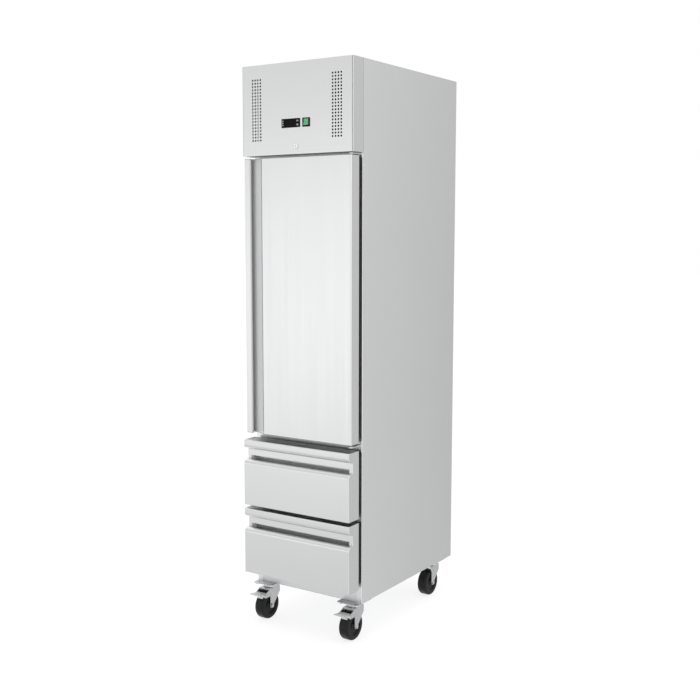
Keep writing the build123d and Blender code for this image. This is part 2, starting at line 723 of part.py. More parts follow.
def temperature_controller():
    """Bezel with a sunk display window, and the case behind it."""
    unit = panel_unit(CONTROLLER_X, CONTROLLER_W, CONTROLLER_D)
    window_x = centred(CONTROLLER_X - KEY_FROM_END / 2, WINDOW_W)
    window = block(window_x, (PANEL_FACE - SHEET, PANEL_FACE + WINDOW_D), centred(CONTROL_Z, WINDOW_H))
    return unit - window - key_pocket(1) - key_pocket(-1)


def controller_key(side):
    """One push key, up for side 1 and down for side -1."""
    y = (PANEL_FACE - KEY_PROUD, PANEL_FACE + KEY_D - SEAL_CLEARANCE)
    key = block(centred(KEY_X, KEY_W), y, centred(key_middle_z(side), KEY_H))
    return chamfer(key.faces().sort_by(Axis.Y)[0].edges(), KEY_PROUD / 3)


def switch_housing():
    """Bezel and case of the rocker switch, with the pin that the rocker tilts on."""
    unit = panel_unit(SWITCH_X, SWITCH_W, SWITCH_D)
    pocket_x = centred(SWITCH_X, ROCKER_W + 2 * KEY_CLEARANCE)
    pocket_y = (PANEL_FACE - SHEET, ROCKER_PIVOT_Y + ROCKER_POCKET)
    unit -= block(pocket_x, pocket_y, centred(CONTROL_Z, 2 * ROCKER_POCKET))
    pin_x = centred(SWITCH_X, ROCKER_W + 2 * KEY_CLEARANCE + BEZEL_LAND)
    return unit + bar_x(ROCKER_PIN_D, pin_x, ROCKER_PIVOT_Y, CONTROL_Z)


def switch_rocker():
    """Two-way rocker, resting with its upper half pressed in."""
    half = ROCKER_H / 2
    face = outline(
        [
            (-ROCKER_PROUD, half),
            (ROCKER_DIP - ROCKER_PROUD, 0),
            (-ROCKER_PROUD, -half),
            (0, -half),
            (half - ROCKER_PIN_D, 0),
            (0, half),
        ]
    )
    rocker = prism_x(face, centred(0, ROCKER_W))
    rocker -= bar_x(ROCKER_PIN_D + 2 * RUNNING_FIT, centred(0, 2 * ROCKER_W), 0, 0)
    rocker = rocker.rotate(Axis.X, -ROCKER_SWING / 2)
    return Pos(SWITCH_X, ROCKER_PIVOT_Y, CONTROL_Z) * rocker


def lock_housing():
    """Fixed barrel of the lock with its front flange."""
    flange = bar_y(LOCK_FLANGE_D, 0, (LOCK_FACE, HEADER_FRONT), LOCK_Z)
    flange = fillet(flange.edges().sort_by(Axis.Y)[0], LOCK_FLANGE_T / 2)
    barrel = bar_y(LOCK_BODY_D, 0, (HEADER_FRONT, LOCK_BACK), LOCK_Z)
    bore_y = (LOCK_FACE - SHEET, LOCK_BACK + SHEET)
    return flange + barrel - bar_y(LOCK_PLUG_D + 2 * RUNNING_FIT, 0, bore_y, LOCK_Z)


def lock_cam():
    """Turning plug with the keyway, and the cam plate behind the barrel."""
    plug = bar_y(LOCK_PLUG_D, 0, (LOCK_FACE - RUNNING_FIT, LOCK_CAM_Y[0]), LOCK_Z)
    keyway_y = (LOCK_FACE - SHEET, LOCK_FACE + KEYWAY_D)
    plug -= block(centred(0, KEYWAY_W), keyway_y, centred(LOCK_Z, KEYWAY_H))
    cam = block((0, LOCK_CAM_L), LOCK_CAM_Y, centred(LOCK_Z, LOCK_CAM_W))
    return plug + bar_y(LOCK_CAM_W, 0, LOCK_CAM_Y, LOCK_Z) + cam


def lock_slot():
    """Space in the door's top that the cam drops into as it turns."""
    gap = LOCK_SLOT_CLEARANCE
    swing = math.hypot(LOCK_CAM_L, LOCK_CAM_W / 2)
    reach = math.sqrt(swing ** 2 - (LOCK_Z - DOOR_TOP) ** 2)
    y = (LOCK_CAM_Y[0] - gap, LOCK_CAM_Y[1] + gap)
    return block((-LOCK_CAM_W / 2 - gap, reach + gap), y, (LOCK_Z - swing - gap, DOOR_TOP + SHEET))


def machine_deck():
    """Sheet on the insulated body that carries the cooling unit."""
    x = centred(0, CABINET_W - 2 * SHEET)
    deck = block(x, (FRONT + SHEET, BACK - SHEET), (DECK, UNIT_FLOOR))
    return deck - pipe_holes((DECK - SHEET, UNIT_FLOOR + SHEET))


def coil(width, y, z, rows, open_ends):
    """Fin block between end plates with return bends; open_ends lists bends left off as (side, row)."""
    body = block(centred(0, width), y, z)
    end = width / 2
    pitch = (z[1] - z[0]) / rows
    middle = (y[0] + y[1]) / 2
    for side in (-1, 1):
        plate_y = (y[0] - COIL_OVERHANG, y[1] + COIL_OVERHANG)
        body += block(wall_at(side, end, end + COIL_PLATE), plate_y, z)
        for row in range(rows):
            if (side, row) in open_ends:
                continue
            centre_z = z[0] + pitch * (row + 0.5)
            ring = Pos(side * (end + COIL_PLATE), middle, centre_z) * Torus(COIL_TUBE_PITCH / 2, PIPE_D / 2)
            keep_x = wall_at(side, end + COIL_PLATE / 2, end + COIL_PLATE + COIL_TUBE_PITCH)
            body += ring & block(keep_x, y, (centre_z - PIPE_D, centre_z + PIPE_D))
    return body


def condenser_coil():
    open_ends = ((1, CONDENSER_ROWS - 1), (-1, 0))
    return coil(CONDENSER_W, CONDENSER_Y, CONDENSER_Z, CONDENSER_ROWS, open_ends)


def evaporator_coil():
    open_ends = ((-1, 0), (-1, EVAP_COIL_ROWS - 1))
    return coil(EVAP_COIL_W, EVAP_COIL_Y, EVAP_COIL_Z, EVAP_COIL_ROWS, open_ends)


def condenser_fan_frame():
    """Shroud plate and ring behind the coil, with the motor on three arms."""
    ring_d = CONDENSER_FAN_D + 2 * FAN_TIP_GAP
    outer_r = ring_d / 2 + SHROUD_SHEET
    z = CONDENSER_MID_Z
    shroud_end = SHROUD_Y + SHROUD_D
    frame = block(centred(0, CONDENSER_W), (SHROUD_Y, SHROUD_Y + SHROUD_SHEET), CONDENSER_Z)
    frame += bar_y(2 * outer_r, 0, (SHROUD_Y, shroud_end), z)
    frame -= bar_y(ring_d, 0, (SHROUD_Y - SHEET, shroud_end + SHEET), z)
    frame += bar_y(MOTOR_D, 0, (MOTOR_Y, MOTOR_Y + MOTOR_L), z)
    frame += bar_y(SHAFT_D, 0, (BLADE_Y - CONDENSER_FAN_HUB_L / 2 - SHAFT_TIP, MOTOR_Y), z)
    for angle in (90, 210, 330):
        width = centred(0, MOTOR_ARM_W)
        arm = block((MOTOR_D / 2 - MOTOR_ARM_T, outer_r), (MOTOR_Y, MOTOR_Y + MOTOR_ARM_T), width)
        arm += block((outer_r - SHROUD_SHEET, outer_r), (shroud_end - SHROUD_SHEET, MOTOR_Y), width)
        frame += Pos(0, 0, z) * arm.rotate(Axis.Y, angle)
    return frame


def fan(diameter, hub_d, hub_l, shaft_d):
    """Hub with angled flat blades, centred on the origin with its axis along Y."""
    wheel = bar_y(hub_d, 0, centred(0, hub_l), 0)
    chord = centred(0, math.pi * diameter * FAN_BLADE_SHARE / FAN_BLADES)
    for index in range(FAN_BLADES):
        blade = block((hub_d / 2 - FAN_BLADE_T, diameter / 2), centred(0, FAN_BLADE_T), chord)
        wheel += blade.rotate(Axis.X, FAN_BLADE_ANGLE).rotate(Axis.Y, 360 * index / FAN_BLADES)
    wheel &= bar_y(diameter, 0, centred(0, diameter), 0)
    return wheel - bar_y(shaft_d + 2 * RUNNING_FIT, 0, centred(0, diameter), 0)


def condenser_fan_blade():
    blade = fan(CONDENSER_FAN_D, CONDENSER_FAN_HUB_D, CONDENSER_FAN_HUB_L, SHAFT_D)
    return Pos(0, BLADE_Y, CONDENSER_MID_Z) * blade


def compressor():
    """Hermetic compressor pot with its weld rim, foot strips, rubber feet and terminal cover."""
    radius = COMPRESSOR_D / 2
    pot_z = (UNIT_FLOOR + COMPRESSOR_FOOT_H, UNIT_FLOOR + COMPRESSOR_H)
    pot = bar_z(COMPRESSOR_D, 0, 0, pot_z)
    pot = fillet(pot.edges().sort_by(Axis.Z)[-1], radius / 2)
    pot = fillet(pot.edges().sort_by(Axis.Z)[0], radius / 3)
    rim_z = pot_z[0] + COMPRESSOR_WELD_H
    pot += bar_z(COMPRESSOR_D + 2 * COMPRESSOR_RIM, 0, 0, (rim_z, rim_z + COMPRESSOR_RIM_H))
    strip_z = centred(pot_z[0], FOOT_STRIP_T)
    foot_x = (FOOT_STRIP_L - RUBBER_FOOT_D) / 2
    for side_y in (-1, 1):
        y = side_y * FOOT_STRIP_SPACING / 2
        pot += block(centred(0, FOOT_STRIP_L), centred(y, FOOT_STRIP_W), strip_z)
        for x in (-foot_x, foot_x):
            pot += bar_z(RUBBER_FOOT_D, x, y, (UNIT_FLOOR, strip_z[0]))
            pot += bar_z(FOOT_BOLT_D, x, y, (strip_z[1], strip_z[1] + FOOT_BOLT_D))
    terminal_z = (rim_z + 2 * COMPRESSOR_RIM_H, rim_z + 2 * COMPRESSOR_RIM_H + TERMINAL_H)
    terminal_y = (-radius - TERMINAL_D, -radius + TERMINAL_D)
    pot += block(centred(0, TERMINAL_W), terminal_y, terminal_z)
    return Pos(COMPRESSOR_X, COMPRESSOR_Y, 0) * pot


def pipe(points):
    """A round tube along straight runs with equal bends."""
    path = FilletPolyline(*points, radius=PIPE_BEND)
    start = Plane(origin=points[0], z_dir=Vector(*points[1]) - Vector(*points[0]))
    return sweep(start * Circle(PIPE_D / 2), path=path)


def discharge_pipe():
    """From the compressor's right side to the condenser's top row."""
    start_x = COMPRESSOR_X + COMPRESSOR_D / 2
    low = UNIT_FLOOR + DISCHARGE_H
    high = CONDENSER_Z[1] - CONDENSER_ROW / 2
    y = CONDENSER_MID_Y + COIL_TUBE_PITCH / 2
    return pipe(
        [
            (start_x, COMPRESSOR_Y, low),
            (PIPE_X, COMPRESSOR_Y, low),
            (PIPE_X, COMPRESSOR_Y, high),
            (PIPE_X, y, high),
            (CONDENSER_END, y, high),
        ]
    )


def liquid_pipe():
    """From the condenser's bottom row through the filter drier to the evaporator's top row."""
    y = CONDENSER_MID_Y + COIL_TUBE_PITCH / 2
    low = CONDENSER_Z[0] + CONDENSER_ROW / 2
    evap_z = EVAP_COIL_Z[1] - EVAP_TUBE_Z / 2
    line = pipe(
        [
            (-CONDENSER_END, y, low),
            (-PIPE_X, y, low),
            (-PIPE_X, LIQUID_Y, low),
            (EVAP_PIPE_X, LIQUID_Y, low),
            (EVAP_PIPE_X, LIQUID_Y, evap_z),
            (-EVAP_COIL_W / 2 - COIL_PLATE, LIQUID_Y, evap_z),
        ]
    )
    drier = bar_y(DRIER_D, -PIPE_X, centred((y + LIQUID_Y) / 2, DRIER_L), low)
    return line + fillet(drier.edges(), DRIER_D / 4)


def suction_pipe():
    """From the evaporator's bottom row back up to the compressor."""
    high = UNIT_FLOOR + SUCTION_H
    evap_z = EVAP_COIL_Z[0] + EVAP_TUBE_Z / 2
    return pipe(
        [
            (-EVAP_COIL_W / 2 - COIL_PLATE, SUCTION_Y, evap_z),
            (EVAP_PIPE_X, SUCTION_Y, evap_z),
            (EVAP_PIPE_X, SUCTION_Y, high),
            (EVAP_PIPE_X, COMPRESSOR_Y, high),
            (COMPRESSOR_X - COMPRESSOR_D / 2, COMPRESSOR_Y, high),
        ]
    )


def junction_box():
    """Electrical box behind the rear cover, with the cable gland that passes through it."""
    wall = JUNCTION_WALL
    x = centred(GLAND_X, JUNCTION_W)
    y = (JUNCTION_BACK - JUNCTION_D, JUNCTION_BACK)
    z = (UNIT_FLOOR, UNIT_FLOOR + JUNCTION_H)
    box = block(x, y, z) + gland_bar(GLAND_OUTER_D, (y[1], BACK - SEAL_CLEARANCE))
    box -= block((x[0] + wall, x[1] - wall), (y[0] + wall, y[1] - wall), (z[0] + wall, z[1] - wall))
    return box - gland_bar(GLAND_BORE_D, (y[1] - 2 * wall, BACK + SHEET))


def evaporator_cover():
    """Hood under the ceiling: front with a guarded fan opening, two sides and a drip floor."""
    x = centred(0, EVAP_W)
    y = (EVAP_FRONT, INNER_BACK - EVAP_BACK_GAP)
    z = (EVAP_BOTTOM, CEILING)
    opening_d = EVAP_FAN_D + 2 * FAN_TIP_GAP
    cover = block(x, (y[0], y[0] + EVAP_SHEET), z)
    cover += bar_y(opening_d + 4 * EVAP_SHEET, 0, (y[0], y[0] + EVAP_RING_D), EVAP_FAN_Z)
    cover -= bar_y(opening_d, 0, (y[0] - SHEET, y[0] + EVAP_RING_D + SHEET), EVAP_FAN_Z)
    guard = None
    for count in range(1, GUARD_RINGS + 1):
        ring = Rot(90, 0, 0) * Torus(opening_d / 2 * count / GUARD_RINGS, GUARD_WIRE_D / 2)
        guard = ring if guard is None else guard + ring
    for angle in (0, 90):
        guard += bar_x(GUARD_WIRE_D, centred(0, opening_d), 0, 0).rotate(Axis.Y, angle)
    cover += Pos(0, y[0] + EVAP_SHEET / 2, EVAP_FAN_Z) * guard
    for side in (-1, 1):
        cover += block(wall_at(side, x[1] - EVAP_SHEET, x[1]), y, z)
    return cover + block(x, y, (z[0], z[0] + EVAP_SHEET))


def evaporator_fan_motor():
    """Fan motor on a bracket that hangs from the ceiling."""
    y = (EVAP_FAN_Y + EVAP_FAN_SETBACK, EVAP_FAN_Y + EVAP_FAN_SETBACK + EVAP_MOTOR_L)
    motor = bar_y(EVAP_MOTOR_D, 0, y, EVAP_FAN_Z)
    motor += bar_y(EVAP_SHAFT_D, 0, (EVAP_FAN_Y - EVAP_FAN_HUB_L / 2, y[0]), EVAP_FAN_Z)
    strap_y = (y[1] - 2 * STRAP_T, y[1] - STRAP_T)
    motor += block(centred(0, STRAP_W), strap_y, (EVAP_FAN_Z, CEILING))
    foot_y = (strap_y[0], strap_y[0] + STRAP_FOOT_D)
    return motor + block(centred(0, STRAP_FOOT_W), foot_y, (CEILING - STRAP_T, CEILING))


def evaporator_fan_blade():
    blade = fan(EVAP_FAN_D, EVAP_FAN_HUB_D, EVAP_FAN_HUB_L, EVAP_SHAFT_D)
    return Pos(0, EVAP_FAN_Y, EVAP_FAN_Z) * blade


def hinge_bracket(plate_z, pin_z, flange_z):
    """Hinge plate with the fixed pin, and the flange that is screwed to the front frame."""
    nose = BUSH_D / 2 + HINGE_PLATE_MARGIN
    flange_x = (PIN_X - HINGE_FLANGE_W / 2, HALF_W - EDGE_RADIUS)
    bracket = block(flange_x, (FRONT - HINGE_FLANGE_T, FRONT), flange_z)
    bracket += block((PIN_X - nose, PIN_X + nose), (PIN_Y, FRONT), plate_z)
    return bracket + bar_z(2 * nose, PIN_X, PIN_Y, plate_z) + bar_z(PIN_D, PIN_X, PIN_Y, pin_z)


def hinge_bracket_upper():
    plate_z = (UPPER_PLATE_Z, UPPER_PLATE_Z + HINGE_PLATE_T)
    flange_z = (DOOR_TOP - GASKET_INSET + HINGE_FLANGE_GAP, UPPER_FLANGE_TOP)
    return hinge_bracket(plate_z, (DOOR_TOP - PIN_LENGTH, plate_z[1]), flange_z)


def hinge_bracket_lower():
    plate_z = (LOWER_PLATE_Z - HINGE_PLATE_T, LOWER_PLATE_Z)
    flange_z = (
        DRAWER_TOP_1 - GASKET_INSET + HINGE_FLANGE_GAP,
        DOOR_BOTTOM + GASKET_INSET - HINGE_FLANGE_GAP,
    )
    return hinge_bracket(plate_z, (plate_z[0], DOOR_BOTTOM + PIN_LENGTH), flange_z)


def handle_face():
    """Outline of the handle profile as seen from above."""
    left = DOOR_LEFT
    front = DOOR_FRONT
    strip_right = left + STRIP_W
    pocket_x = strip_right - POCKET_BEHIND_STRIP
    groove_start = (pocket_x, front + GROOVE_START_D)
    groove_low = (strip_right + GROOVE_LOW_X, front + GROOVE_D)
    groove_end = (HANDLE_RIGHT, front + GROOVE_END_D)
    edges = Polyline(
        (left, DOOR_SHEET_BACK),
        (left, front),
        (strip_right, front),
        (strip_right, front + STRIP_T),
        (pocket_x, front + STRIP_T + STRIP_UNDERCUT),
        groove_start,
    )
    edges += ThreePointArc(groove_start, groove_low, groove_end)
    edges += Polyline(groove_end, (HANDLE_RIGHT, DOOR_SHEET_BACK), (left, DOOR_SHEET_BACK))
    corners = [(left, front), (strip_right, front), (strip_right, front + STRIP_T)]
    return rounded(make_face(edges), corners, STRIP_RADIUS)


def handle_inside():
    """The hollow inside the handle profile."""
    return offset(handle_face(), amount=-HANDLE_SHEET)


def along_door(face):
    """A face seen from above, drawn out between the door's end caps."""
    return extrude(Pos(0, 0, DOOR_BODY_Z[0]) * face, DOOR_BODY_Z[1] - DOOR_BODY_Z[0])


def door_handle():
    return along_door(handle_face() - handle_inside())


def door_skin():
    """Flat front sheet with a fold at the seam and a return down the hinge side."""
    face = outline(
        [
            (PANEL_LEFT, DOOR_FRONT + SEAM_FOLD),
            (PANEL_LEFT, DOOR_FRONT),
            (DOOR_RIGHT, DOOR_FRONT),
            (DOOR_RIGHT, DOOR_SHEET_BACK),
            (DOOR_RIGHT - SHEET, DOOR_SHEET_BACK),
            (DOOR_RIGHT - SHEET, DOOR_FRONT + SHEET),
            (PANEL_LEFT + SHEET, DOOR_FRONT + SHEET),
            (PANEL_LEFT + SHEET, DOOR_FRONT + SEAM_FOLD),
        ]
    )
    fold = (DOOR_RIGHT - SHEET, DOOR_FRONT + SHEET)
    return along_door(folded(face, [(DOOR_RIGHT, DOOR_FRONT)], [fold]))


def hinge_bush(z):
    """Round boss around the hinge pin."""
    return bar_z(BUSH_D, PIN_X, PIN_Y, z)


def hinge_bore(z):
    return bar_z(PIN_D + 2 * RUNNING_FIT, PIN_X, PIN_Y, z)


def door_end_caps():
    """Top and bottom closing plates with the hinge bushes; the top one has the lock slot."""
    panel = outline(
        [
            (HANDLE_RIGHT, DOOR_FRONT),
            (DOOR_RIGHT, DOOR_FRONT),
            (DOOR_RIGHT, DOOR_SHEET_BACK),
            (HANDLE_RIGHT, DOOR_SHEET_BACK),
        ]
    )
    face = handle_face() + rounded(panel, [(DOOR_RIGHT, DOOR_FRONT)], EDGE_RADIUS)
    caps = []
    for level, bush_z in ((DOOR_BOTTOM, LOWER_BUSH_Z), (DOOR_BODY_Z[1], UPPER_BUSH_Z)):
        cap = extrude(Pos(0, 0, level) * face, CAP_SHEET) + hinge_bush(bush_z)
        caps.append(cap - hinge_bore((bush_z[0] - SHEET, bush_z[1] + SHEET)))
    return group([caps[0], caps[1] - lock_slot()])


def pan_block(shrink):
    """The raised middle of the door's inner side, smaller all round by shrink."""
    margin = GASKET_INSET + GASKET_W + PAN_CLEARANCE + shrink
    z = (DOOR_BOTTOM + margin, DOOR_TOP - margin)
    raised = block(centred(0, DOOR_W - 2 * margin), (DOOR_SHEET_BACK, SEAL_BACK + PAN_RISE - shrink), z)
    return chamfer(raised.faces().sort_by(Axis.Y)[-1].edges(), PAN_RISE / 2)


def door_inner_panel():
    """Inner sheet of the door, pressed out towards the cold space inside the gasket."""
    sheet = block((DOOR_LEFT, DOOR_RIGHT), (DOOR_SHEET_BACK, SEAL_BACK), (DOOR_BOTTOM, DOOR_TOP))
    return sheet + pan_block(0) - pan_block(SHEET)


def door_core():
    """Foam behind the flat sheet and inside the handle profile."""
    x = (PANEL_LEFT + SHEET, DOOR_RIGHT - SHEET)
    y = (DOOR_FRONT + SHEET, DOOR_SHEET_BACK)
    plan = outline([(x[0], y[0]), (x[1], y[0]), (x[1], y[1]), (x[0], y[1])])
    slab = along_door(rounded(plan, [(x[1], y[0])], EDGE_RADIUS - SHEET))
    slab += pan_block(SHEET) & block(x, (DOOR_SHEET_BACK, FRONT), DOOR_BODY_Z)
    slab -= hinge_bush(UPPER_BUSH_Z) + hinge_bush(LOWER_BUSH_Z)
    return group([slab - lock_slot(), along_door(handle_inside())])


def gasket(width, top, bottom):
    """Magnetic seal around a front: two uprights and two crosspieces."""
    half = width / 2 - GASKET_INSET
    y = (SEAL_BACK, FRONT - SEAL_CLEARANCE)
    z = (bottom + GASKET_INSET, top - GASKET_INSET)
    right = block((half - GASKET_W, half), y, z)
    across = (GASKET_W - half, half - GASKET_W)
    lower = block(across, y, (z[0], z[0] + GASKET_W))
    upper = block(across, y, (z[1] - GASKET_W, z[1]))
    return group([right, mirrored(right), lower, upper])


def upright(y):
    """Slotted channel on the right liner wall."""
    x = (INNER_HALF - UPRIGHT_T, INNER_HALF)
    span = centred(y, UPRIGHT_W)
    z = UPRIGHT_Z
    post = block(x, span, z)
    post -= block((x[0] + UPRIGHT_SHEET, x[1]), (span[0] + UPRIGHT_SHEET, span[1] - UPRIGHT_SHEET), z)
    slot_x = (x[0] - UPRIGHT_SHEET, x[0] + 2 * UPRIGHT_SHEET)
    for index in range(int((z[1] - z[0]) // UPRIGHT_SLOT_PITCH)):
        middle = z[0] + UPRIGHT_SLOT_PITCH * (index + 0.5)
        post -= block(slot_x, centred(y, UPRIGHT_SLOT_W), centred(middle, UPRIGHT_SLOT_H))
    return post


def shelf_runner(level):
    """Angle on the right uprights that a shelf rests on, with a stop at the back."""
    outer = INNER_HALF - UPRIGHT_T
    x = (outer - RUNNER_FOOT, outer)
    y = (SHELF_Y[0] - RUNNER_END, SHELF_Y[1] + 2 * RUNNER_END)
    z = (level, level + RUNNER_RISE)
    foot = block(x, y, (level - RUNNER_SHEET, level))
    wall = block((x[1] - RUNNER_SHEET, x[1]), y, z)
    return foot + wall + block(x, (y[1] - RUNNER_SHEET, y[1]), z)


def shelf_racks():
    """Four slotted uprights on the liner and three pairs of runners."""
    pieces = [upright(SHELF_Y[0] + UPRIGHT_INSET), upright(SHELF_Y[1] - UPRIGHT_INSET)]
    pieces += [shelf_runner(level) for level in SHELF_LEVELS]
    return group(pieces + [mirrored(piece) for piece in pieces])


def wire_shelf(level):
    """Rod frame with wires running front to back, resting on its runners."""
    half = (SHELF_W - SHELF_FRAME_D) / 2
    y = (SHELF_Y[0] + SHELF_FRAME_D / 2, SHELF_Y[1] - SHELF_FRAME_D / 2)
    z = level + SHELF_FRAME_D / 2
    corners = [(-half, y[0], z), (half, y[0], z), (half, y[1], z), (-half, y[1], z)]
    path = FilletPolyline(*corners, radius=SHELF_CORNER, close=True)
    shelf = sweep(Plane(origin=path @ 0, z_dir=path % 0) * Circle(SHELF_FRAME_D / 2), path=path)
    pitch = 2 * half / (SHELF_WIRES + 1)
    wire_z = z + (SHELF_FRAME_D - SHELF_WIRE_D) / 2
    for index in range(1, SHELF_WIRES + 1):
        shelf += bar_y(SHELF_WIRE_D, pitch * index - half, y, wire_z)
    for index in range(1, SHELF_BRACES + 1):
        brace_y = y[0] + (y[1] - y[0]) * index / (SHELF_BRACES + 1)
        shelf += bar_x(SHELF_WIRE_D, (-half, half), brace_y, z - SHELF_WIRE_D / 4)
    return shelf


def wire_shelves():
    return group([wire_shelf(level) for level in SHELF_LEVELS])


def drawer_face(top):
    """Side outline of a drawer front, drawn as (y, z)."""
    front = DRAWER_FRONT
    neck = front + NECK_D
    lip_bottom = top - LIP_H
    neck_top = lip_bottom - LIP_SLOPE_H
    ledge_z = neck_top - NECK_H - SLOT_H
    face = outline(
        [
            (SEAL_BACK, top),
            (front, top),
            (front, lip_bottom),
            (neck, neck_top),
            (neck, ledge_z),
            (front, ledge_z),
            (front, top - DRAWER_H),
            (SEAL_BACK, top - DRAWER_H),
        ]
    )
    face = rounded(face, [(front, top), (neck, neck_top)], LIP_EDGE_RADIUS)
    face = rounded(face, [(front, lip_bottom)], LIP_RADIUS)
    return rounded(face, [(front, ledge_z)], LEDGE_RADIUS)


def finger_space(y, z, neck_back, slot_top):
    """Room for the fingertips: a slot under the neck and a pocket behind it, tapered at both ends."""
    wide = DRAWER_W / 2 - GRIP_END
    narrow = wide - GRIP_TAPER
    plan = outline(
        [
            (-wide, y[0]),
            (wide, y[0]),
            (narrow, y[0] + GRIP_TAPER),
            (narrow, y[1]),
            (-narrow, y[1]),
            (-narrow, y[0] + GRIP_TAPER),
        ]
    )
    room = extrude(Pos(0, 0, z[0]) * plan, z[1] - z[0])
    return room - block((-wide, wide), (y[0], neck_back), (slot_top, z[1]))


def drawer_front(top):
    """Hollow front with the lip grip; the slot under the neck opens into a finger pocket."""
    sheet = DRAWER_SHEET
    half = DRAWER_W / 2
    face = drawer_face(top)
    slot_top = top - LIP_H - LIP_SLOPE_H - NECK_H
    neck = DRAWER_FRONT + NECK_D
    y = (neck - sheet, DRAWER_FRONT + FINGER_POCKET_D)
    z = (slot_top - SLOT_H, slot_top + FINGER_POCKET_RISE)
    hollow = prism_x(offset(face, amount=-sheet), (sheet - half, half - sheet))
    hollow -= block((sheet - half, half - sheet), (neck, y[1] + sheet), (z[0] - sheet, z[1] + sheet))
    return prism_x(face, (-half, half)) - hollow - finger_space(y, z, neck + sheet, slot_top)


def rail_channel(x_web, x_lip, height, middle, y):
    """C-shaped rail: an upright web and two flanges that reach to x_lip."""
    toward = 1 if x_lip > x_web else -1
    z = centred(middle, height)
    span = tuple(sorted((x_web, x_lip)))
    rail = block(tuple(sorted((x_web, x_web + toward * RAIL_SHEET))), y, z)
    rail += block(span, y, (z[1] - RAIL_SHEET, z[1]))
    return rail + block(span, y, (z[0], z[0] + RAIL_SHEET))


def opening_middle(opening):
    return (opening[0] + opening[1]) / 2


def drawer_rails_fixed():
    """Outer rails on the liner, one pair for each drawer."""
    pieces = []
    for opening in (OPENING_1, OPENING_2):
        y = (RAIL_FRONT, RAIL_FRONT + RAIL_L)
        rail = rail_channel(INNER_HALF, INNER_HALF - RAIL_FLANGE, RAIL_H, opening_middle(opening), y)
        pieces += [rail, mirrored(rail)]
    return group(pieces)


def mid_rails(opening):
    """Middle rails of one drawer, which run half as far as the drawer."""
    web = INNER_HALF - RAIL_STEP
    y = (RAIL_FRONT, RAIL_FRONT + RAIL_MID_L)
    rail = rail_channel(web, web - RAIL_FLANGE, MID_RAIL_H, opening_middle(opening), y)
    return group([rail, mirrored(rail)])


def drawer_box(opening):
    """Open-topped box behind the front, with the moving rails on its sides."""
    wall = BOX_SHEET
    middle = opening_middle(opening)
    x = (-BOX_OUTER, BOX_OUTER)
    y = (SEAL_BACK, BOX_BACK)
    z = centred(middle, BOX_H)
    box = block(x, y, z)
    box -= block((x[0] + wall, x[1] - wall), (y[0] + wall, y[1] - wall), (z[0] + wall, z[1]))
    rail = rail_channel(x[1], INNER_HALF - 2 * RAIL_STEP, MOVING_RAIL_H, middle, (RAIL_FRONT, y[1]))
    return group([box, rail, mirrored(rail)])


def caster_places():
    """Swivel axes of the four casters as (name, x, y, has a pedal)."""
    places = []
    for y_name, y, pedal in (("front", CASTER_FRONT_Y, True), ("back", CASTER_BACK_Y, False)):
        for x_name, side in (("left", -1), ("right", 1)):
            places.append((y_name + "_" + x_name, side * CASTER_X, y, pedal))
    return places


def caster_plate():
    """Top plate with the bearing race and its four bolts, about the origin's X and Y."""
    plate = block(
        centred(0, CASTER_PLATE_W),
        centred(0, CASTER_PLATE_D),
        (PLATE_BOTTOM, CARCASS_BOTTOM),
    )
    plate = fillet(plate.edges().filter_by(Axis.Z), CASTER_PLATE_CORNER)
    race = Cone(CASTER_RACE_NARROW_D / 2, CASTER_RACE_D / 2, CASTER_RACE_H)
    plate += Pos(0, 0, PLATE_BOTTOM - CASTER_RACE_H / 2) * race
    bolts = []
    slot = SlotOverall(BOLT_SLOT_L, BOLT_D + 2 * PIPE_CLEARANCE)
    for x in (BOLT_INSET - CASTER_PLATE_W / 2, CASTER_PLATE_W / 2 - BOLT_INSET):
        for y in (BOLT_INSET - CASTER_PLATE_D / 2, CASTER_PLATE_D / 2 - BOLT_INSET):
            plate -= Pos(x, y, PLATE_BOTTOM) * extrude(slot, CASTER_PLATE_T)
            head = extrude(RegularPolygon(BOLT_HEAD_R, 6), BOLT_HEAD_H)
            head = Pos(x, y, PLATE_BOTTOM - BOLT_HEAD_H) * head
            bolts.append(head + bar_z(BOLT_D, x, y, (PLATE_BOTTOM, CARCASS_BOTTOM)))
    return [plate] + bolts


def caster_plates():
    pieces = []
    for _, x, y, _ in caster_places():
        pieces += [Pos(x, y, 0) * piece for piece in caster_plate()]
    return group(pieces)


def fork_leg(pedal):
    """Right leg of a fork with its axle boss, and the ear in front where a pedal is fitted."""
    x = (LEG_X, LEG_OUTER_X)
    top = CROWN_BOTTOM
    back_y = FORK_CROWN_D / 2 - FORK_BACK_INSET
    front_y = -FORK_FRONT_REACH
    leg = prism_x(
        outline(
            [
                (back_y, top),
                (front_y, top),
                (front_y, top - FORK_SHOULDER),
                (AXLE_Y - BOSS_R, top - FORK_WAIST),
                (AXLE_Y - BOSS_R, AXLE_Z),
                (AXLE_Y + BOSS_R, AXLE_Z),
                (back_y, top - FORK_WAIST),
            ]
        ),
        x,
    )
    leg += bar_x(2 * BOSS_R, x, AXLE_Y, AXLE_Z)
    if pedal:
        root_y = front_y + FORK_SHOULDER
        leg += prism_x(
            outline(
                [
                    (root_y, top),
                    (RIVET_Y, RIVET_Z + EAR_R),
                    (RIVET_Y, RIVET_Z - EAR_R),
                    (root_y, RIVET_Z - EAR_R),
                ]
            ),
            x,
        )
        leg += bar_x(2 * EAR_R, x, RIVET_Y, RIVET_Z)
    return leg


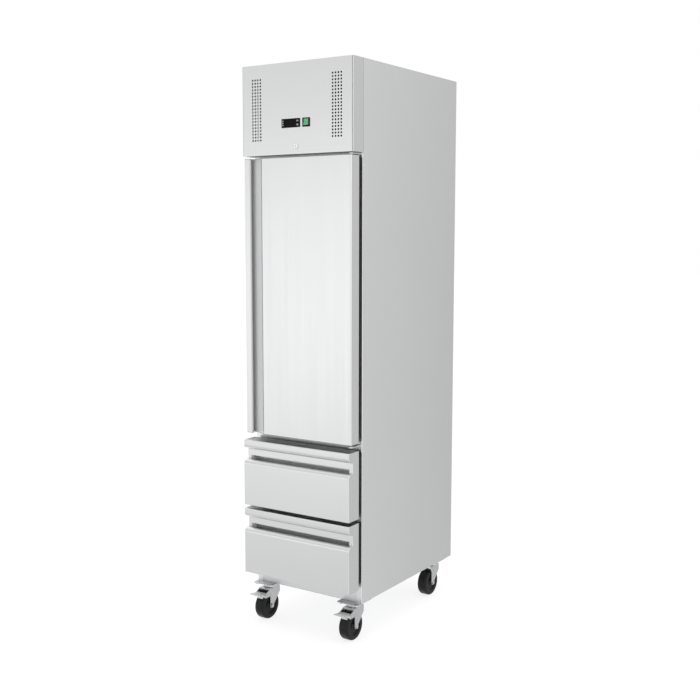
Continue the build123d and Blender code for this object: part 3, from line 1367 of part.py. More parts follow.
def caster_fork(pedal):
    """Swivel crown, two legs and the axle bolt, about the swivel axis."""
    crown = bar_z(FORK_CROWN_D, 0, 0, (CROWN_BOTTOM, CROWN_TOP))
    crown = fillet(crown.edges().sort_by(Axis.Z)[0], FORK_T)
    back_y = FORK_CROWN_D / 2 - FORK_BACK_INSET
    leg = fork_leg(pedal)
    fork = crown + leg + mirrored(leg)
    deck_z = (CROWN_BOTTOM - FORK_T, CROWN_BOTTOM)
    fork += block((-LEG_OUTER_X, LEG_OUTER_X), (-FORK_FRONT_REACH, back_y), deck_z)
    tip = LEG_OUTER_X + NUT_T + AXLE_TIP
    fork += bar_x(AXLE_D, (-tip, tip), AXLE_Y, AXLE_Z)
    nut = Plane(origin=(LEG_OUTER_X, AXLE_Y, AXLE_Z), z_dir=(1, 0, 0)) * RegularPolygon(NUT_ACROSS, 6)
    nut = extrude(nut, NUT_T)
    fork += nut + mirrored(nut)
    if pedal:
        rivet_x = LEG_OUTER_X + RIVET_HEAD
        fork += bar_x(RIVET_D, (-rivet_x, rivet_x), RIVET_Y, RIVET_Z)
    return fork


def caster_wheel():
    """Solid tyre with rounded shoulders on a dished hub, bored for the axle."""
    half = WHEEL_W / 2
    wheel = fillet(bar_x(WHEEL_D, (-half, half), AXLE_Y, AXLE_Z).edges(), WHEEL_SHOULDER)
    for side in (-1, 1):
        dish_x = wall_at(side, half - WHEEL_DISH_DEPTH, half + WHEEL_DISH_DEPTH)
        dish = bar_x(WHEEL_DISH_D, dish_x, AXLE_Y, AXLE_Z) - bar_x(WHEEL_HUB_D, dish_x, AXLE_Y, AXLE_Z)
        wheel -= dish
    return wheel - bar_x(AXLE_D + 2 * RUNNING_FIT, (-WHEEL_W, WHEEL_W), AXLE_Y, AXLE_Z)


def brake_shoe(top):
    """Flat-ended tongue under the lever that points at the axle and stops just off the wheel."""
    ahead = AXLE_Y - RIVET_Y
    above = RIVET_Z - AXLE_Z
    reach = math.hypot(ahead, above)
    face = WHEEL_D / 2 + PEDAL_SHOE_CLEARANCE

    def corner(y):
        return (y, AXLE_Z + (face * reach - (AXLE_Y - y) * ahead) / above)

    front_y = RIVET_Y - EAR_R / 2
    back_y = RIVET_Y + PEDAL_SHOE_BACK
    shoe = outline([(front_y, top), corner(front_y), corner(back_y), (back_y, top)])
    return prism_x(shoe, centred(0, PEDAL_SHOE_W))


def caster_pedal():
    """Stamped brake lever on its rivet: two cheeks, a tread plate, and the shoe at the wheel."""
    outer = LEG_X - SEAL_CLEARANCE
    inner = outer - PEDAL_T
    tread_z = RIVET_Z + EAR_R
    root_y = RIVET_Y + EAR_R
    cheek = bar_x(2 * PEDAL_CHEEK_R, (inner, outer), RIVET_Y, RIVET_Z)
    cheek += block((inner, outer), (RIVET_Y - PEDAL_CHEEK_R, root_y), (RIVET_Z, tread_z))
    lever = cheek + mirrored(cheek)
    neck_tip = RIVET_Y - EAR_R
    lever += block((-outer, outer), (neck_tip, root_y), (tread_z - PEDAL_T, tread_z))
    tread = outline(
        [
            (neck_tip, tread_z - PEDAL_T),
            (neck_tip, tread_z),
            (PEDAL_TIP_Y, tread_z + PEDAL_RISE),
            (PEDAL_TIP_Y, tread_z + PEDAL_RISE - PEDAL_T),
        ]
    )
    lever += prism_x(tread, centred(0, PEDAL_W))
    lever += brake_shoe(tread_z - PEDAL_T)
    lever += bar_x(RIVET_D + 2 * PEDAL_T, (-outer, outer), RIVET_Y, RIVET_Z)
    return lever - bar_x(RIVET_D + 2 * RUNNING_FIT, centred(0, PEDAL_W), RIVET_Y, RIVET_Z)


def carcass_nodes():
    right_panel = side_panel()
    return {
        "side_panel_right": right_panel,
        "side_panel_left": mirrored(right_panel),
        "back_panel": back_panel(),
        "rear_grille": rear_grille(),
        "top_cover": top_cover(),
        "base_panel": base_panel(),
        "front_frame": front_frame(),
        "inner_liner": inner_liner(),
        "wall_insulation": wall_insulation(),
        "compartment_floor": compartment_floor(),
        "shelf_racks": shelf_racks(),
        "wire_shelves": wire_shelves(),
        "drawer_rails_fixed": drawer_rails_fixed(),
    }


def header_nodes():
    return {
        "header_fascia": header_fascia(),
        "temperature_controller": temperature_controller(),
        "key_up": controller_key(1),
        "key_down": controller_key(-1),
        "switch_housing": switch_housing(),
        "switch_rocker": switch_rocker(),
        "lock_housing": lock_housing(),
        "lock_cam": lock_cam(),
    }


def cooling_nodes():
    return {
        "machine_deck": machine_deck(),
        "condenser_coil": condenser_coil(),
        "condenser_fan_frame": condenser_fan_frame(),
        "condenser_fan_blade": condenser_fan_blade(),
        "compressor": compressor(),
        "refrigerant_pipes": group([discharge_pipe(), liquid_pipe(), suction_pipe()]),
        "junction_box": junction_box(),
        "evaporator_cover": evaporator_cover(),
        "evaporator_coil": evaporator_coil(),
        "evaporator_fan_motor": evaporator_fan_motor(),
        "evaporator_fan_blade": evaporator_fan_blade(),
    }


def door_nodes():
    return {
        "hinge_bracket_upper": hinge_bracket_upper(),
        "hinge_bracket_lower": hinge_bracket_lower(),
        "door_skin": door_skin(),
        "door_handle": door_handle(),
        "door_end_caps": door_end_caps(),
        "door_core": door_core(),
        "door_inner_panel": door_inner_panel(),
        "door_gasket": gasket(DOOR_W, DOOR_TOP, DOOR_BOTTOM),
    }


def drawer_nodes():
    nodes = {}
    drawers = (("drawer_1", DRAWER_TOP_1, OPENING_1), ("drawer_2", DRAWER_TOP_2, OPENING_2))
    for name, top, opening in drawers:
        nodes[name + "_front"] = drawer_front(top)
        nodes[name + "_gasket"] = gasket(DRAWER_W, top, top - DRAWER_H)
        nodes[name + "_box"] = drawer_box(opening)
        nodes[name + "_mid_rails"] = mid_rails(opening)
    return nodes


def caster_nodes():
    nodes = {"caster_plates": caster_plates()}
    for name, x, y, pedal in caster_places():
        nodes["fork_" + name] = Pos(x, y, 0) * caster_fork(pedal)
        nodes["wheel_" + name] = Pos(x, y, 0) * caster_wheel()
        if pedal:
            nodes["pedal_" + name] = Pos(x, y, 0) * caster_pedal()
    return nodes


os.makedirs("parts", exist_ok=True)
for nodes in (carcass_nodes(), header_nodes(), cooling_nodes(), door_nodes(), drawer_nodes(), caster_nodes()):
    for node_name, shape in nodes.items():
        shape.label = node_name
        export_step(shape, os.path.join("parts", node_name + ".step"))
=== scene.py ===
import bmesh
import bpy
import json
import math
from mathutils import Matrix, Vector


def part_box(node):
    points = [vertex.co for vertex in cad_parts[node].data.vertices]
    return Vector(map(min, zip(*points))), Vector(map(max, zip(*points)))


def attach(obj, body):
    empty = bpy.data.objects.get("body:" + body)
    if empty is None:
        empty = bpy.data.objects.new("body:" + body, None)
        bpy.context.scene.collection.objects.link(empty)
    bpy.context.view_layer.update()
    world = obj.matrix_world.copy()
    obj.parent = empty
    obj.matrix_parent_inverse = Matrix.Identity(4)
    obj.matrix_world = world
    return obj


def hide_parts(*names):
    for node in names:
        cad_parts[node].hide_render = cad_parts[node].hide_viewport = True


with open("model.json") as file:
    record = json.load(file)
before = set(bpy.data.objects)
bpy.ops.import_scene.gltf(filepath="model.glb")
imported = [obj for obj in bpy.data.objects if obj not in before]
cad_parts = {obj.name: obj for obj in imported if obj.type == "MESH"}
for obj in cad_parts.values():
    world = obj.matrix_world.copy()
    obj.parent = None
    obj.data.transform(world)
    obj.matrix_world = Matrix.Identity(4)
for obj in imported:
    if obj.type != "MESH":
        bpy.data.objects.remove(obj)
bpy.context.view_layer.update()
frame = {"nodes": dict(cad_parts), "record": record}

# Dressing of a slim catering refrigerator. Metres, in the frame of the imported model:
# X to the right, Y to the back, Z up, with the floor at zero.

MM = 0.001
MERGE_DISTANCE = 1e-6
END_TOLERANCE = 1e-5

# Camera. Angles in degrees; the yaw counts from the front towards the right.
CAMERA_PLACE = (2.095, -3.181, 1.410)
CAMERA_YAW = 33.51
CAMERA_PITCH = -6.47
CAMERA_ROLL = 0.069
CAMERA_LENS = 52.94
CAMERA_REACH = 100.0

# Lamps: name, place, the point each is turned to, width and height, power
LAMPS = [
    ("edge_strip", (4.2, -3.1, 1.6), (0.1, -0.3, 1.1), (0.7, 3.2), 8.0),
    ("top_softbox", (0.3, -0.6, 4.6), (0.0, 0.0, 1.0), (3.0, 3.0), 30.0),
]

# Floor: its own paint, and what the eye sees of it, which is thin paint under a glow
FLOOR_SIZE = 60.0
FLOOR_COLOR = (0.80, 0.80, 0.80)
FLOOR_SEEN_COLOR = (0.30, 0.30, 0.30)
FLOOR_GLOW = 0.80

# Walls that only metal sees: azimuth in degrees from the front towards the right, and brightness
WORLD_DIFFUSE = 0.80
WALLS = [
    (-180, 0.74),
    (-150, 0.95),
    (-120, 1.15),
    (-78, 1.12),
    (-52, 0.84),
    (-33, 0.69),
    (-8, 0.84),
    (10, 1.15),
    (24, 1.27),
    (62, 1.27),
    (78, 1.20),
    (92, 0.98),
    (112, 0.82),
    (146, 0.72),
    (165, 0.66),
    (180, 0.74),
]
WALLS_TOP = 2.5
FRONT_GLOW = 1.35
FRONT_GLOW_AIM = (-0.550, -0.832, -0.070)
FRONT_GLOW_EDGE = 0.974
SKY_GLOW = 0.25

# Rounded folds and edges, and the angles that tell a fold from a flat face
FORK_ROUNDING = 0.7 * MM
PLATE_ROUNDING = 0.6 * MM
MOULDING_ROUNDING = 0.4 * MM
BOX_ROUNDING = 1.2 * MM
DRAWER_END_ROUNDING = 1.6 * MM
FOLD_ANGLE = math.radians(40)
SHARP_ANGLE = math.radians(50)
WHEEL_SHARP_ANGLE = math.radians(42)
FLAT_ANGLE = math.radians(0.5)

# Controller: the display window let into it, and the indicators in a column at its left
DISPLAY_SIZE = (44.0 * MM, 22.0 * MM)
DISPLAY_MARGIN = 0.4 * MM
DISPLAY_OFF_MIDDLE = 4.0 * MM
DISPLAY_DEPTH = (0.2 * MM, 1.0 * MM)
DISPLAY_CORNER_R = 1.2 * MM
INDICATOR_R = 2.2 * MM
INDICATOR_SPACING = 7.0 * MM
INDICATOR_IN = 6.5 * MM
INDICATOR_DOME = 0.22

# Brake pedals: the tread's slope, and the ribs pressed up across it
TREAD_RUN = 29.0 * MM
TREAD_RISE = 4.0 * MM
RIB_COUNT = 5
RIB_START = 4.0 * MM
RIB_PITCH = 4.4 * MM
RIB_SIZE = (38.0 * MM, 1.8 * MM, 1.4 * MM)
RIB_ROUNDING = 0.5 * MM

# Wheels: half a section as radius and distance from the middle, in mm; the first points are tread
WHEEL_STEPS = 96
TREAD_POINTS = 3
TYRE = [
    (50.0, 0.0),
    (49.97, 7.0),
    (49.7, 13.0),
    (49.2, 14.6),
    (48.3, 15.0),
    (48.1, 15.7),
    (48.0, 16.4),
    (46.9, 17.8),
    (45.2, 18.7),
    (43.0, 19.0),
    (37.5, 19.0),
    (34.5, 18.9),
    (32.4, 18.3),
    (31.4, 17.2),
    (31.0, 14.8),
    (29.6, 14.0),
    (26.0, 14.0),
    (25.4, 14.5),
    (24.0, 14.5),
    (23.4, 14.0),
    (16.0, 14.0),
    (13.4, 14.6),
    (12.0, 16.4),
    (11.0, 18.3),
    (10.2, 18.9),
    (6.0, 18.9),
    (5.2, 18.3),
    (5.2, 0.0),
]

# Door and drawer seals: section as distance inward from the outline and back from the front, in mm
BELLOWS = [
    (2.0, 0.0),
    (18.0, 0.0),
    (18.6, 1.2),
    (16.2, 3.0),
    (16.0, 3.9),
    (19.0, 5.4),
    (19.2, 6.6),
    (16.4, 8.4),
    (16.6, 9.4),
    (19.7, 10.4),
    (20.0, 11.2),
    (20.0, 14.6),
    (19.2, 15.7),
    (0.8, 15.7),
    (0.0, 14.6),
    (0.0, 11.2),
    (0.3, 10.4),
    (3.4, 9.4),
    (3.6, 8.4),
    (0.8, 6.6),
    (1.0, 5.4),
    (4.0, 3.9),
    (3.8, 3.0),
    (1.4, 1.2),
]

# Ground steel: grains per metre across the grinding lines and along them, and detail
FINE_GRAIN = (900.0, 9.0, 2.0)
BROAD_GRAIN = (160.0, 1.6, 4.0)
GRAIN_ROUGHNESS = 0.018
GRAIN_DEPTH = 0.00002
GRAIN_STRENGTH = 0.35
CLOUDS = (2.2, 2.0)
CLOUD_TINT = 0.012
SHEARED_GRAIN = (60.0, 3.0)
SHEARED_TINT = 0.1

# Painted shade and light: colour factors that darken sheet behind openings, under edges, on covered faces and
# at the grip slot's end, where shade falls, and brighten the side sheets towards the front
PAINTED_INSIDE_SHADE = 0.10
PAINTED_UNDERSIDE_SHADE = 0.32
PAINTED_DRAWER_TOP_SHADE = 0.45
PAINTED_SLOT_END_SHADE = 0.40
PAINTED_CAP_SHADE = 0.30
PAINTED_SIDE_LIGHT = (1.11, 0.985)
FASCIA_SIDE = 1.5 * MM
FASCIA_FACE = 0.15 * MM
FASCIA_EDGE = 1.2 * MM
SIDE_SHEET_FACE = 0.5 * MM
SIDE_FLANGE = 1.2 * MM
DRAWER_FACE = 5.0 * MM
DRAWER_BOTTOM = 1.0 * MM
DRAWER_TOP = 0.3 * MM
DRAWER_END = 1.5 * MM
SLOT_END_W = 24.0 * MM
SLOT_END_D = 25.0 * MM

# Grip: painted light that lightens the drawn groove beside the strip and makes it less metallic, painted
# shade in the groove next to the strip, and painted shade on the strip's turned edge
GROOVE_SPAN = (-0.2115, -0.186)
GROOVE_DEPTH = (-0.3430, -0.3405)
GROOVE_PAINTED_LIGHT = 1.30
GROOVE_PAINTED_SHADE = 0.80
GROOVE_METALLIC = 0.12
STRIP_EDGE_X = -0.2008
STRIP_EDGE_PAINTED_SHADE = 0.72

# Finishes: colour, roughness and metallic share
FINISH = {
    "stainless": ((0.700, 0.704, 0.708), 0.33, 1.0),
    "galvanised": ((0.52, 0.535, 0.55), 0.42, 0.9),
    "zinc": ((0.62, 0.63, 0.64), 0.30, 1.0),
    # pedal plating: painted light, a lighter and part-metallic copy of the zinc so the pedal tops read light
    "pedal_plating_painted_light": ((0.74, 0.745, 0.75), 0.34, 0.45),
    "satin_metal": ((0.66, 0.66, 0.655), 0.32, 1.0),
    "bright_wire": ((0.78, 0.78, 0.79), 0.16, 1.0),
    "bright_metal": ((0.78, 0.78, 0.78), 0.14, 1.0),
    "fins": ((0.030, 0.031, 0.033), 0.45, 0.2),
    "fan_metal": ((0.30, 0.305, 0.31), 0.40, 1.0),
    "copper": ((0.78, 0.42, 0.26), 0.28, 1.0),
    "black_enamel": ((0.012, 0.012, 0.013), 0.30, 0.0),
    "wheel_rubber": ((0.010, 0.010, 0.011), 0.42, 0.0),
    "tread_rubber": ((0.060, 0.060, 0.062), 0.62, 0.0),
    "gasket_rubber": ((0.022, 0.022, 0.024), 0.60, 0.0),
    "black_plastic": ((0.008, 0.008, 0.009), 0.36, 0.0),
    "grey_plastic": ((0.42, 0.43, 0.44), 0.45, 0.0),
    "green_plastic": ((0.10, 0.46, 0.22), 0.20, 0.0),
    "foam": ((0.80, 0.70, 0.42), 0.85, 0.0),
    "display_glass": ((0.002, 0.002, 0.0025), 0.10, 0.0),
    "pale_lens": ((0.62, 0.63, 0.62), 0.22, 0.0),
}

# Surfaces: pattern in the tint, the gloss and the relief of a finish, and values of its shader.
# Each pattern has grains per metre and detail, or CELLS for broken-up cells, and then its reach:
# a share of the colour, a part of the roughness, or the depth and strength of the relief.
CELLS = None
PLAIN_METAL = {"tint": (40.0, 3.0, 0.03), "gloss": (60.0, 4.0, 0.04)}
MOULDED = {
    "tint": (30.0, 3.0, 0.08),
    "gloss": (180.0, 4.0, 0.05),
    "relief": (1400.0, 2.0, 0.00003, 0.6),
    "values": {"Specular IOR Level": 0.22},
}
SURFACE = {
    "galvanised": {"tint": (70.0, CELLS, 0.05), "gloss": (25.0, 3.0, 0.06)},
    "zinc": {"tint": (90.0, 5.0, 0.06), "gloss": (140.0, 4.0, 0.07), "relief": (700.0, 3.0, 0.00004, 0.5)},
    "pedal_plating_painted_light": {"tint": (90.0, 5.0, 0.05), "gloss": (140.0, 4.0, 0.06)},
    "satin_metal": {"tint": (300.0, 3.0, 0.04), "gloss": (200.0, 3.0, 0.04)},
    "bright_wire": PLAIN_METAL,
    "bright_metal": PLAIN_METAL,
    "fins": PLAIN_METAL,
    "fan_metal": PLAIN_METAL,
    "copper": PLAIN_METAL,
    "black_enamel": {
        "gloss": (50.0, 3.0, 0.05),
        "relief": (260.0, 2.0, 0.00006, 0.6),
        "values": {"Coat Weight": 0.4, "Coat Roughness": 0.12},
    },
    "wheel_rubber": MOULDED,
    "tread_rubber": {
        "tint": ((20.0, 240.0, 240.0), 5.0, 0.22),
        "gloss": (120.0, 4.0, 0.08),
        "relief": (500.0, 3.0, 0.00010, 0.6),
    },
    "gasket_rubber": MOULDED,
    "black_plastic": {**MOULDED, "values": {"Specular IOR Level": 0.07}},
    "grey_plastic": MOULDED,
    "green_plastic": {
        "tint": (220.0, 2.0, 0.08),
        "values": {
            "Coat Weight": 0.8,
            "Coat Roughness": 0.06,
            "Subsurface Weight": 0.25,
            "Subsurface Radius": (0.002, 0.006, 0.003),
        },
    },
    "foam": {"tint": (120.0, 5.0, 0.12), "relief": (600.0, CELLS, 0.0004, 0.6)},
    "display_glass": {
        "tint": (150.0, 2.0, 0.15),
        "gloss": (90.0, 3.0, 0.03),
        "values": {"Specular IOR Level": 0.10},
    },
    "pale_lens": {"tint": (400.0, 2.0, 0.06), "values": {"Coat Weight": 0.5}},
}


class Nodes:
    """A node tree, with short calls for its nodes and sums."""

    def __init__(self, tree):
        self.tree = tree

    def node(self, kind, **settings):
        made = self.tree.nodes.new(kind)
        for key, value in settings.items():
            setattr(made, key, value)
        return made

    def link(self, source, target):
        self.tree.links.new(source, target)

    def feed(self, socket, value):
        """Sets a socket to a number, or links another socket to it."""
        if isinstance(value, (int, float)):
            socket.default_value = value
        else:
            self.link(value, socket)

    def math(self, operation, *values):
        made = self.node("ShaderNodeMath", operation=operation)
        for socket, value in zip(made.inputs, values):
            self.feed(socket, value)
        return made.outputs[0]

    def product(self, first, *others):
        for value in others:
            first = self.math("MULTIPLY", first, value)
        return first

    def over(self, value, limit):
        """1 where the value is more than the limit, and 0 elsewhere."""
        return self.math("GREATER_THAN", value, limit)

    def under(self, value, limit):
        """1 where the value is less than the limit, and 0 elsewhere."""
        return self.math("LESS_THAN", value, limit)

    def spread(self, value, low, high, span, **settings):
        """The value's span carried over to low and high."""
        made = self.node("ShaderNodeMapRange", **settings)
        made.inputs["From Min"].default_value = span[0]
        made.inputs["From Max"].default_value = span[1]
        made.inputs["To Min"].default_value = low
        made.inputs["To Max"].default_value = high
        self.link(value, made.inputs["Value"])
        return made.outputs["Result"]

    def toned(self, mask, shade):
        """1 where the mask is 0, and shade where it is 1."""
        return self.spread(mask, 1.0, shade, (0.0, 1.0))

    def mix(self, share, first, second):
        """The first shader where the share is 0, and the second where it is 1."""
        made = self.node("ShaderNodeMixShader")
        self.link(share, made.inputs[0])
        self.link(first, made.inputs[1])
        self.link(second, made.inputs[2])
        return made.outputs[0]


class Finish(Nodes):
    """A material, with short calls for the pattern in its tint, gloss and relief."""

    PATTERN_SPAN = (0.3, 0.7)

    def __init__(self, name, look):
        self.color, self.roughness, metallic = look
        self.material = bpy.data.materials.new(name)
        self.material.use_nodes = True
        super().__init__(self.material.node_tree)
        self.shader = self.tree.nodes["Principled BSDF"]
        self.constant("Metallic", metallic)
        self.constant("Roughness", self.roughness)
        self.constant("Base Color", (*self.color, 1.0))

    def constant(self, socket, value):
        self.shader.inputs[socket].default_value = value

    def stretched(self, grains):
        """Object coordinates in grains per metre, one number or one for each axis."""
        where = self.node("ShaderNodeTexCoord")
        mapping = self.node("ShaderNodeMapping")
        scale = (grains,) * 3 if isinstance(grains, float) else grains
        mapping.inputs["Scale"].default_value = scale
        self.link(where.outputs["Object"], mapping.inputs["Vector"])
        return mapping.outputs["Vector"]

    def pattern(self, grains, detail):
        """Noise, or a random value for each of the cells if detail is CELLS."""
        if detail is CELLS:
            return self.cells(grains)
        made = self.node("ShaderNodeTexNoise")
        made.inputs["Scale"].default_value = 1.0
        made.inputs["Detail"].default_value = detail
        self.link(self.stretched(grains), made.inputs["Vector"])
        return made.outputs["Fac"]

    def cells(self, grains):
        made = self.node("ShaderNodeTexVoronoi")
        made.inputs["Scale"].default_value = 1.0
        self.link(self.stretched(grains), made.inputs["Vector"])
        split = self.node("ShaderNodeSeparateColor")
        self.link(made.outputs["Color"], split.inputs["Color"])
        return split.outputs["Red"]

    def position(self):
        """The object coordinates x, y and z."""
        where = self.node("ShaderNodeTexCoord")
        split = self.node("ShaderNodeSeparateXYZ")
        self.link(where.outputs["Object"], split.inputs["Vector"])
        return split.outputs

    def around(self, pattern, middle, reach):
        """The pattern's usual span carried over to middle - reach and middle + reach."""
        return self.spread(pattern, middle - reach, middle + reach, self.PATTERN_SPAN)

    def gloss(self, pattern, reach):
        self.link(self.around(pattern, self.roughness, reach), self.shader.inputs["Roughness"])

    def tint(self, factor):
        """Multiplies the colour."""
        scaled = self.node("ShaderNodeVectorMath", operation="SCALE")
        scaled.inputs[0].default_value = self.color
        self.link(factor, scaled.inputs["Scale"])
        self.link(scaled.outputs["Vector"], self.shader.inputs["Base Color"])

    def relief(self, height, depth, strength):
        made = self.node("ShaderNodeBump")
        made.inputs["Strength"].default_value = strength
        made.inputs["Distance"].default_value = depth
        self.link(height, made.inputs["Height"])
        self.link(made.outputs["Normal"], self.shader.inputs["Normal"])

    def ground(self, axis):
        """Grinding lines along an axis, in gloss and relief."""
        self.gloss(self.lines(axis, BROAD_GRAIN), GRAIN_ROUGHNESS)
        self.relief(self.lines(axis, FINE_GRAIN), GRAIN_DEPTH, GRAIN_STRENGTH)

    def lines(self, axis, grain):
        across, along, detail = grain
        return self.pattern([along if name == axis else across for name in "xyz"], detail)


def surfaced(name):
    """The finish of that name, with its surface."""
    graph = Finish(name, FINISH[name])
    surface = SURFACE[name]
    for socket, value in surface.get("values", {}).items():
        graph.constant(socket, value)
    if "tint" in surface:
        grains, detail, share = surface["tint"]
        graph.tint(graph.around(graph.pattern(grains, detail), 1.0, share))
    if "gloss" in surface:
        grains, detail, reach = surface["gloss"]
        graph.gloss(graph.pattern(grains, detail), reach)
    if "relief" in surface:
        grains, detail, depth, strength = surface["relief"]
        graph.relief(graph.pattern(grains, detail), depth, strength)
    return graph.material


def ground_steel(name, axis, shade=None):
    """Satin ground stainless sheet, with the grinding lines along an axis.

    shade, if given, takes the graph and returns a factor for the colour, which paints light and shade.
    """
    graph = Finish(name, FINISH["stainless"])
    graph.ground(axis)
    factor = graph.around(graph.pattern(*CLOUDS), 1.0, CLOUD_TINT)
    if shade:
        factor = graph.product(factor, shade(graph))
    graph.tint(factor)
    return graph.material


def fascia_painted_shade(graph):
    """Painted shade on the fascia: darker inside, behind its front and within its folds, and in its punched
    holes.
    """
    low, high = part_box("header_fascia")
    x, y, z = graph.position()
    mask = graph.product(
        graph.under(graph.math("ABSOLUTE", x), high[0] - FASCIA_SIDE),
        graph.over(y, low[1] + FASCIA_FACE),
        graph.over(z, low[2] + FASCIA_EDGE),
        graph.under(z, high[2] - FASCIA_EDGE),
    )
    return graph.toned(mask, PAINTED_INSIDE_SHADE)


def drawer_painted_shade(node):
    """Painted shade: dims the left end of the grip slot, and the top and underside that the neighbours cover.
    """
    low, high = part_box(node)

    def factor(graph):
        x, y, z = graph.position()
        back = graph.over(y, low[1] + DRAWER_FACE)
        below = graph.product(graph.under(z, low[2] + DRAWER_BOTTOM), back)
        above = graph.product(graph.over(z, high[2] - DRAWER_TOP), back)
        slot_end = graph.product(
            graph.over(x, low[0] + DRAWER_END),
            graph.under(x, low[0] + SLOT_END_W),
            graph.over(y, low[1] + SLOT_END_D),
        )
        return graph.product(
            graph.toned(below, PAINTED_UNDERSIDE_SHADE),
            graph.toned(above, PAINTED_DRAWER_TOP_SHADE),
            graph.toned(slot_end, PAINTED_SLOT_END_SHADE),
        )

    return factor


def panel_painted_shade_and_light(graph):
    """The side sheets: painted shade inside, and painted light that makes them a little brighter towards the
    front.
    """
    low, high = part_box("side_panel_right")
    x, y, _ = graph.position()
    within = graph.under(graph.math("ABSOLUTE", x), high[0] - SIDE_SHEET_FACE)
    behind = graph.over(y, low[1] + SIDE_FLANGE)
    along = graph.spread(y, *PAINTED_SIDE_LIGHT, (low[1], high[1]))
    return graph.product(graph.toned(graph.product(within, behind), PAINTED_INSIDE_SHADE), along)


def grip_steel_painted_light_and_shade():
    """The handle's ground sheet, with painted light in the drawn groove beside the strip, and painted shade
    next to the strip and on the strip's turned edge.
    """
    graph = Finish("steel_handle_painted_light_and_shade", FINISH["stainless"])
    graph.ground("z")
    x, y, _ = graph.position()
    across = graph.spread(x, 0.0, 1.0, GROOVE_SPAN)
    inward = graph.spread(y, 0.0, 1.0, GROOVE_DEPTH)
    proud = graph.math("SUBTRACT", 1.0, inward)
    painted_groove_light = graph.product(across, inward)
    painted_groove_shade = graph.product(graph.math("SUBTRACT", 1.0, across), inward)
    edge = graph.product(graph.over(x, STRIP_EDGE_X), proud)
    factor = graph.product(
        graph.toned(painted_groove_light, GROOVE_PAINTED_LIGHT),
        graph.toned(edge, STRIP_EDGE_PAINTED_SHADE),
        graph.toned(painted_groove_shade, GROOVE_PAINTED_SHADE),
    )
    graph.tint(factor)
    # painted light: the groove turns less metallic, so it reads pale
    graph.link(graph.toned(painted_groove_light, GROOVE_METALLIC), graph.shader.inputs["Metallic"])
    return graph.material


def cap_painted_shade(graph):
    """Painted shade: the closing plates at the door's ends are darkened, with a mottled tone."""
    return graph.around(graph.pattern(*SHEARED_GRAIN), PAINTED_CAP_SHADE, PAINTED_CAP_SHADE * SHEARED_TINT)


MATERIALS = {name: surfaced(name) for name in SURFACE}
MATERIALS["stainless"] = ground_steel("steel_upright_grain", "z")
LEVEL_STEEL = ground_steel("steel_level_grain", "x")
OWN_FINISH = {
    "compartment_floor": LEVEL_STEEL,
    "top_cover": LEVEL_STEEL,
    "header_fascia": ground_steel("steel_header_painted_shade", "x", fascia_painted_shade),
    "drawer_1_front": ground_steel("steel_drawer_1_painted_shade", "x", drawer_painted_shade("drawer_1_front")),
    "drawer_2_front": ground_steel("steel_drawer_2_painted_shade", "x", drawer_painted_shade("drawer_2_front")),
    "side_panel_left": ground_steel("steel_left_panel_painted_shade_and_light", "z", panel_painted_shade_and_light),
    "side_panel_right": ground_steel("steel_right_panel_painted_shade_and_light", "z", panel_painted_shade_and_light),
    "door_handle": grip_steel_painted_light_and_shade(),
    "door_end_caps": ground_steel("steel_caps_painted_shade", "x", cap_painted_shade),
    "lock_housing": MATERIALS["satin_metal"],
    "pedal_front_left": MATERIALS["pedal_plating_painted_light"],
    "pedal_front_right": MATERIALS["pedal_plating_painted_light"],
}


def slot_of(node):
    rows = frame["record"]["subparts"]
    return next(row["material_slot"] for row in rows if row["node"] == node)


def material_of(node):
    """The finish of a CAD node: one of its own, or that of its slot."""
    return OWN_FINISH.get(node) or MATERIALS[slot_of(node)]


def body_of(node):
    bodies = frame["record"]["behaviour"]["bodies"]
    return next(name for name, nodes in bodies.items() if node in nodes)


def carried_over_finishes():
    """Every CAD node gets its finish."""
    for row in frame["record"]["subparts"]:
        node = frame["nodes"][row["node"]]
        for index in range(len(node.data.materials)):
            node.data.materials[index] = material_of(row["node"])


def linked(name, data):
    """A new object in the scene."""
    made = bpy.data.objects.new(name, data)
    bpy.context.scene.collection.objects.link(made)
    return made


def new_piece(name, mesh, materials):
    mesh.materials.clear()
    for material in materials:
        mesh.materials.append(material)
    return linked(name, mesh)


def mesh_from(work, name):
    """The bmesh as a new mesh of that name."""
    mesh = bpy.data.meshes.new(name)
    work.to_mesh(mesh)
    work.free()
    return mesh


def smoothed(piece, sharp_angle):
    """Smooth shading up to an angle between faces."""
    for polygon in piece.data.polygons:
        polygon.use_smooth = True
    piece.data.set_sharp_from_angle(angle=sharp_angle)
    return piece


def baked(piece):
    """Applies the piece's modifiers to its mesh."""
    graph = bpy.context.evaluated_depsgraph_get()
    done = bpy.data.meshes.new_from_object(piece.evaluated_get(graph))
    piece.modifiers.clear()
    piece.data = done
    return piece


def evened(piece):
    """Smooth shading that leaves the large flat faces flat."""
    smoothed(piece, SHARP_ANGLE)
    even = piece.modifiers.new("even", "WEIGHTED_NORMAL")
    even.keep_sharp = True
    return baked(piece)


def placed(piece, node, replaced):
    """The piece rides on the node's body, and stands for it if replaced is true."""
    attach(piece, body_of(node))
    if replaced:
        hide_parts(node)


def joined_faces(node):
    """A copy of the node's mesh, and its shape in bmesh with the flat faces joined up again."""
    mesh = frame["nodes"][node].data.copy()
    normals = mesh.attributes.get("custom_normal")
    if normals:
        mesh.attributes.remove(normals)
    work = bmesh.new()
    work.from_mesh(mesh)
    bmesh.ops.remove_doubles(work, verts=work.verts, dist=MERGE_DISTANCE)
    bmesh.ops.dissolve_limit(work, angle_limit=FLAT_ANGLE, verts=work.verts, edges=work.edges)
    for face in work.faces:
        face.material_index = 0
    return mesh, work


